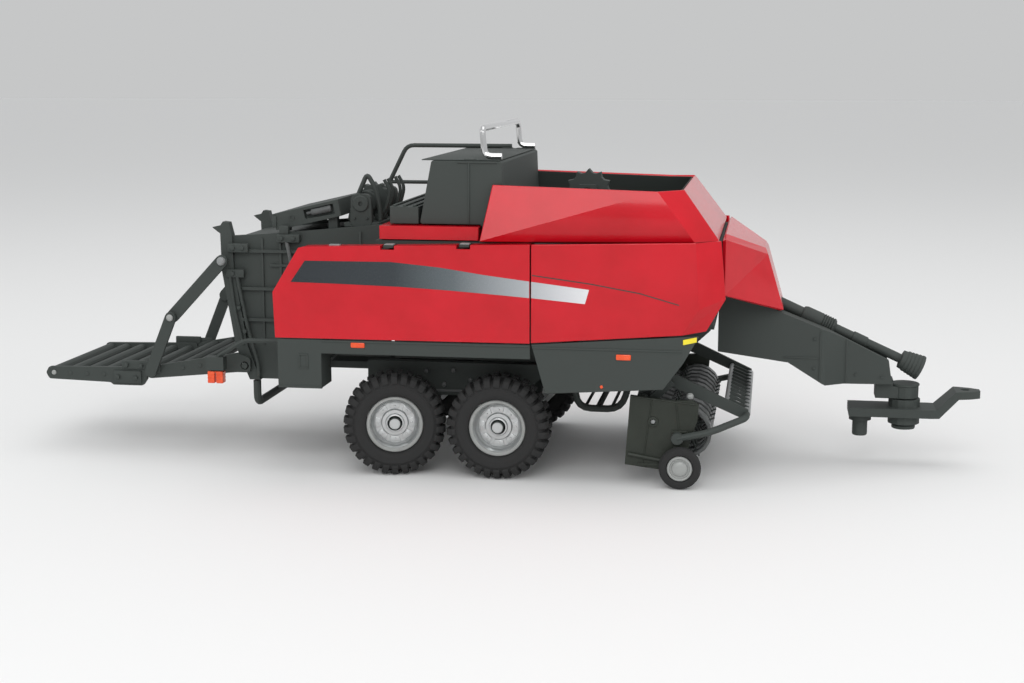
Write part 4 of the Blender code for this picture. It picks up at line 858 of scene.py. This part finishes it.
class BALER_OT_stage(PieceOperator):
    """A plain pale floor, soft lamps and the camera."""
    bl_idname = "baler.stage"
    bl_label = "Stage"

    def make(self):
        scene = bpy.context.scene
        deselect()
        bpy.ops.mesh.primitive_plane_add(size=1.0, location=(0.0, 0.0, -0.0001))
        floor = bpy.context.object
        floor.name = "floor"
        floor.scale = (12.0, 12.0, 1.0)
        bpy.ops.object.transform_apply(location=True, rotation=True, scale=True)
        pale = bpy.data.materials.new("floor")
        pale.use_nodes = True
        shader = pale.node_tree.nodes["Principled BSDF"]
        shader.inputs["Base Color"].default_value = (0.80, 0.80, 0.795, 1.0)
        shader.inputs["Roughness"].default_value = 0.75
        floor.data.materials.append(pale)

        for name, size, energy, at, target in (
                ("key_lamp", 0.5, 2.6, (0.05, -0.75, 0.55), (0.0, 0.0, 0.05)),
                ("top_lamp", 0.8, 2.0, (0.15, 0.1, 0.95), (0.0, 0.0, 0.0)),
                ("front_lamp", 0.5, 1.4, (0.85, -0.35, 0.4), (0.05, 0.0, 0.05)),
                ("rear_lamp", 0.5, 0.9, (-0.8, -0.2, 0.45), (0.0, 0.0, 0.04))):
            data = bpy.data.lights.new(name, "AREA")
            data.shape = "SQUARE"
            data.size = size
            data.energy = energy
            lamp = bpy.data.objects.new(name, data)
            scene.collection.objects.link(lamp)
            lamp.location = at
            lamp.rotation_euler = (Vector(target) - Vector(at)).to_track_quat("-Z", "Y").to_euler()

        world = bpy.data.worlds.new("studio")
        world.use_nodes = True
        tree = world.node_tree
        fill = tree.nodes["Background"]
        fill.inputs["Color"].default_value = (0.96, 0.97, 0.98, 1.0)
        fill.inputs["Strength"].default_value = 0.72
        plain = linked(tree, "ShaderNodeBackground", Color=(0.565, 0.57, 0.572, 1.0), Strength=1.0)
        path = tree.nodes.new("ShaderNodeLightPath")
        choice = tree.nodes.new("ShaderNodeMixShader")
        tree.links.new(path.outputs["Is Camera Ray"], choice.inputs[0])
        tree.links.new(fill.outputs[0], choice.inputs[1])
        tree.links.new(plain.outputs[0], choice.inputs[2])
        tree.links.new(choice.outputs[0], tree.nodes["World Output"].inputs["Surface"])
        scene.world = world

        data = bpy.data.cameras.new("camera")
        data.lens = 56.5
        data.clip_start = 0.01
        camera = bpy.data.objects.new("camera", data)
        scene.collection.objects.link(camera)
        camera.location = (0.0836, -0.5091, 0.123)
        camera.rotation_euler = (math.radians(80.36), 0.0, math.radians(9.2))
        scene.camera = camera
        scene.view_settings.view_transform = "Standard"


OPERATORS = (BALER_OT_frame, BALER_OT_stripes, BALER_OT_tyres, BALER_OT_rims, BALER_OT_gauge_wheels,
             BALER_OT_markers, BALER_OT_rails, BALER_OT_covers, BALER_OT_chamber, BALER_OT_chute,
             BALER_OT_running_gear, BALER_OT_skirts, BALER_OT_pickup, BALER_OT_drawbar, BALER_OT_stage)


class BALER_PT_panel(bpy.types.Panel):
    """Sidebar panel with the model's settings and one button for each group of pieces."""
    bl_label = "Square Baler"
    bl_idname = "BALER_PT_panel"
    bl_space_type = "VIEW_3D"
    bl_region_type = "UI"
    bl_category = "Baler"

    def draw(self, context):
        for name in BalerLooks.__annotations__:
            self.layout.prop(context.scene.baler_looks, name)
        for operator in OPERATORS:
            self.layout.operator(operator.bl_idname)


CLASSES = (BalerLooks, *OPERATORS, BALER_PT_panel)


def register():
    """Register the classes and the scene's settings."""
    for cls in CLASSES:
        bpy.utils.register_class(cls)
    bpy.types.Scene.baler_looks = bpy.props.PointerProperty(type=BalerLooks)


def unregister():
    """Remove the scene's settings and the classes."""
    del bpy.types.Scene.baler_looks
    for cls in reversed(CLASSES):
        bpy.utils.unregister_class(cls)


def main():
    """Make every piece and the stage."""
    register()
    for operator in OPERATORS:
        getattr(bpy.ops.baler, operator.bl_idname.split(".")[1])()


if __name__ == "__main__":
    main()
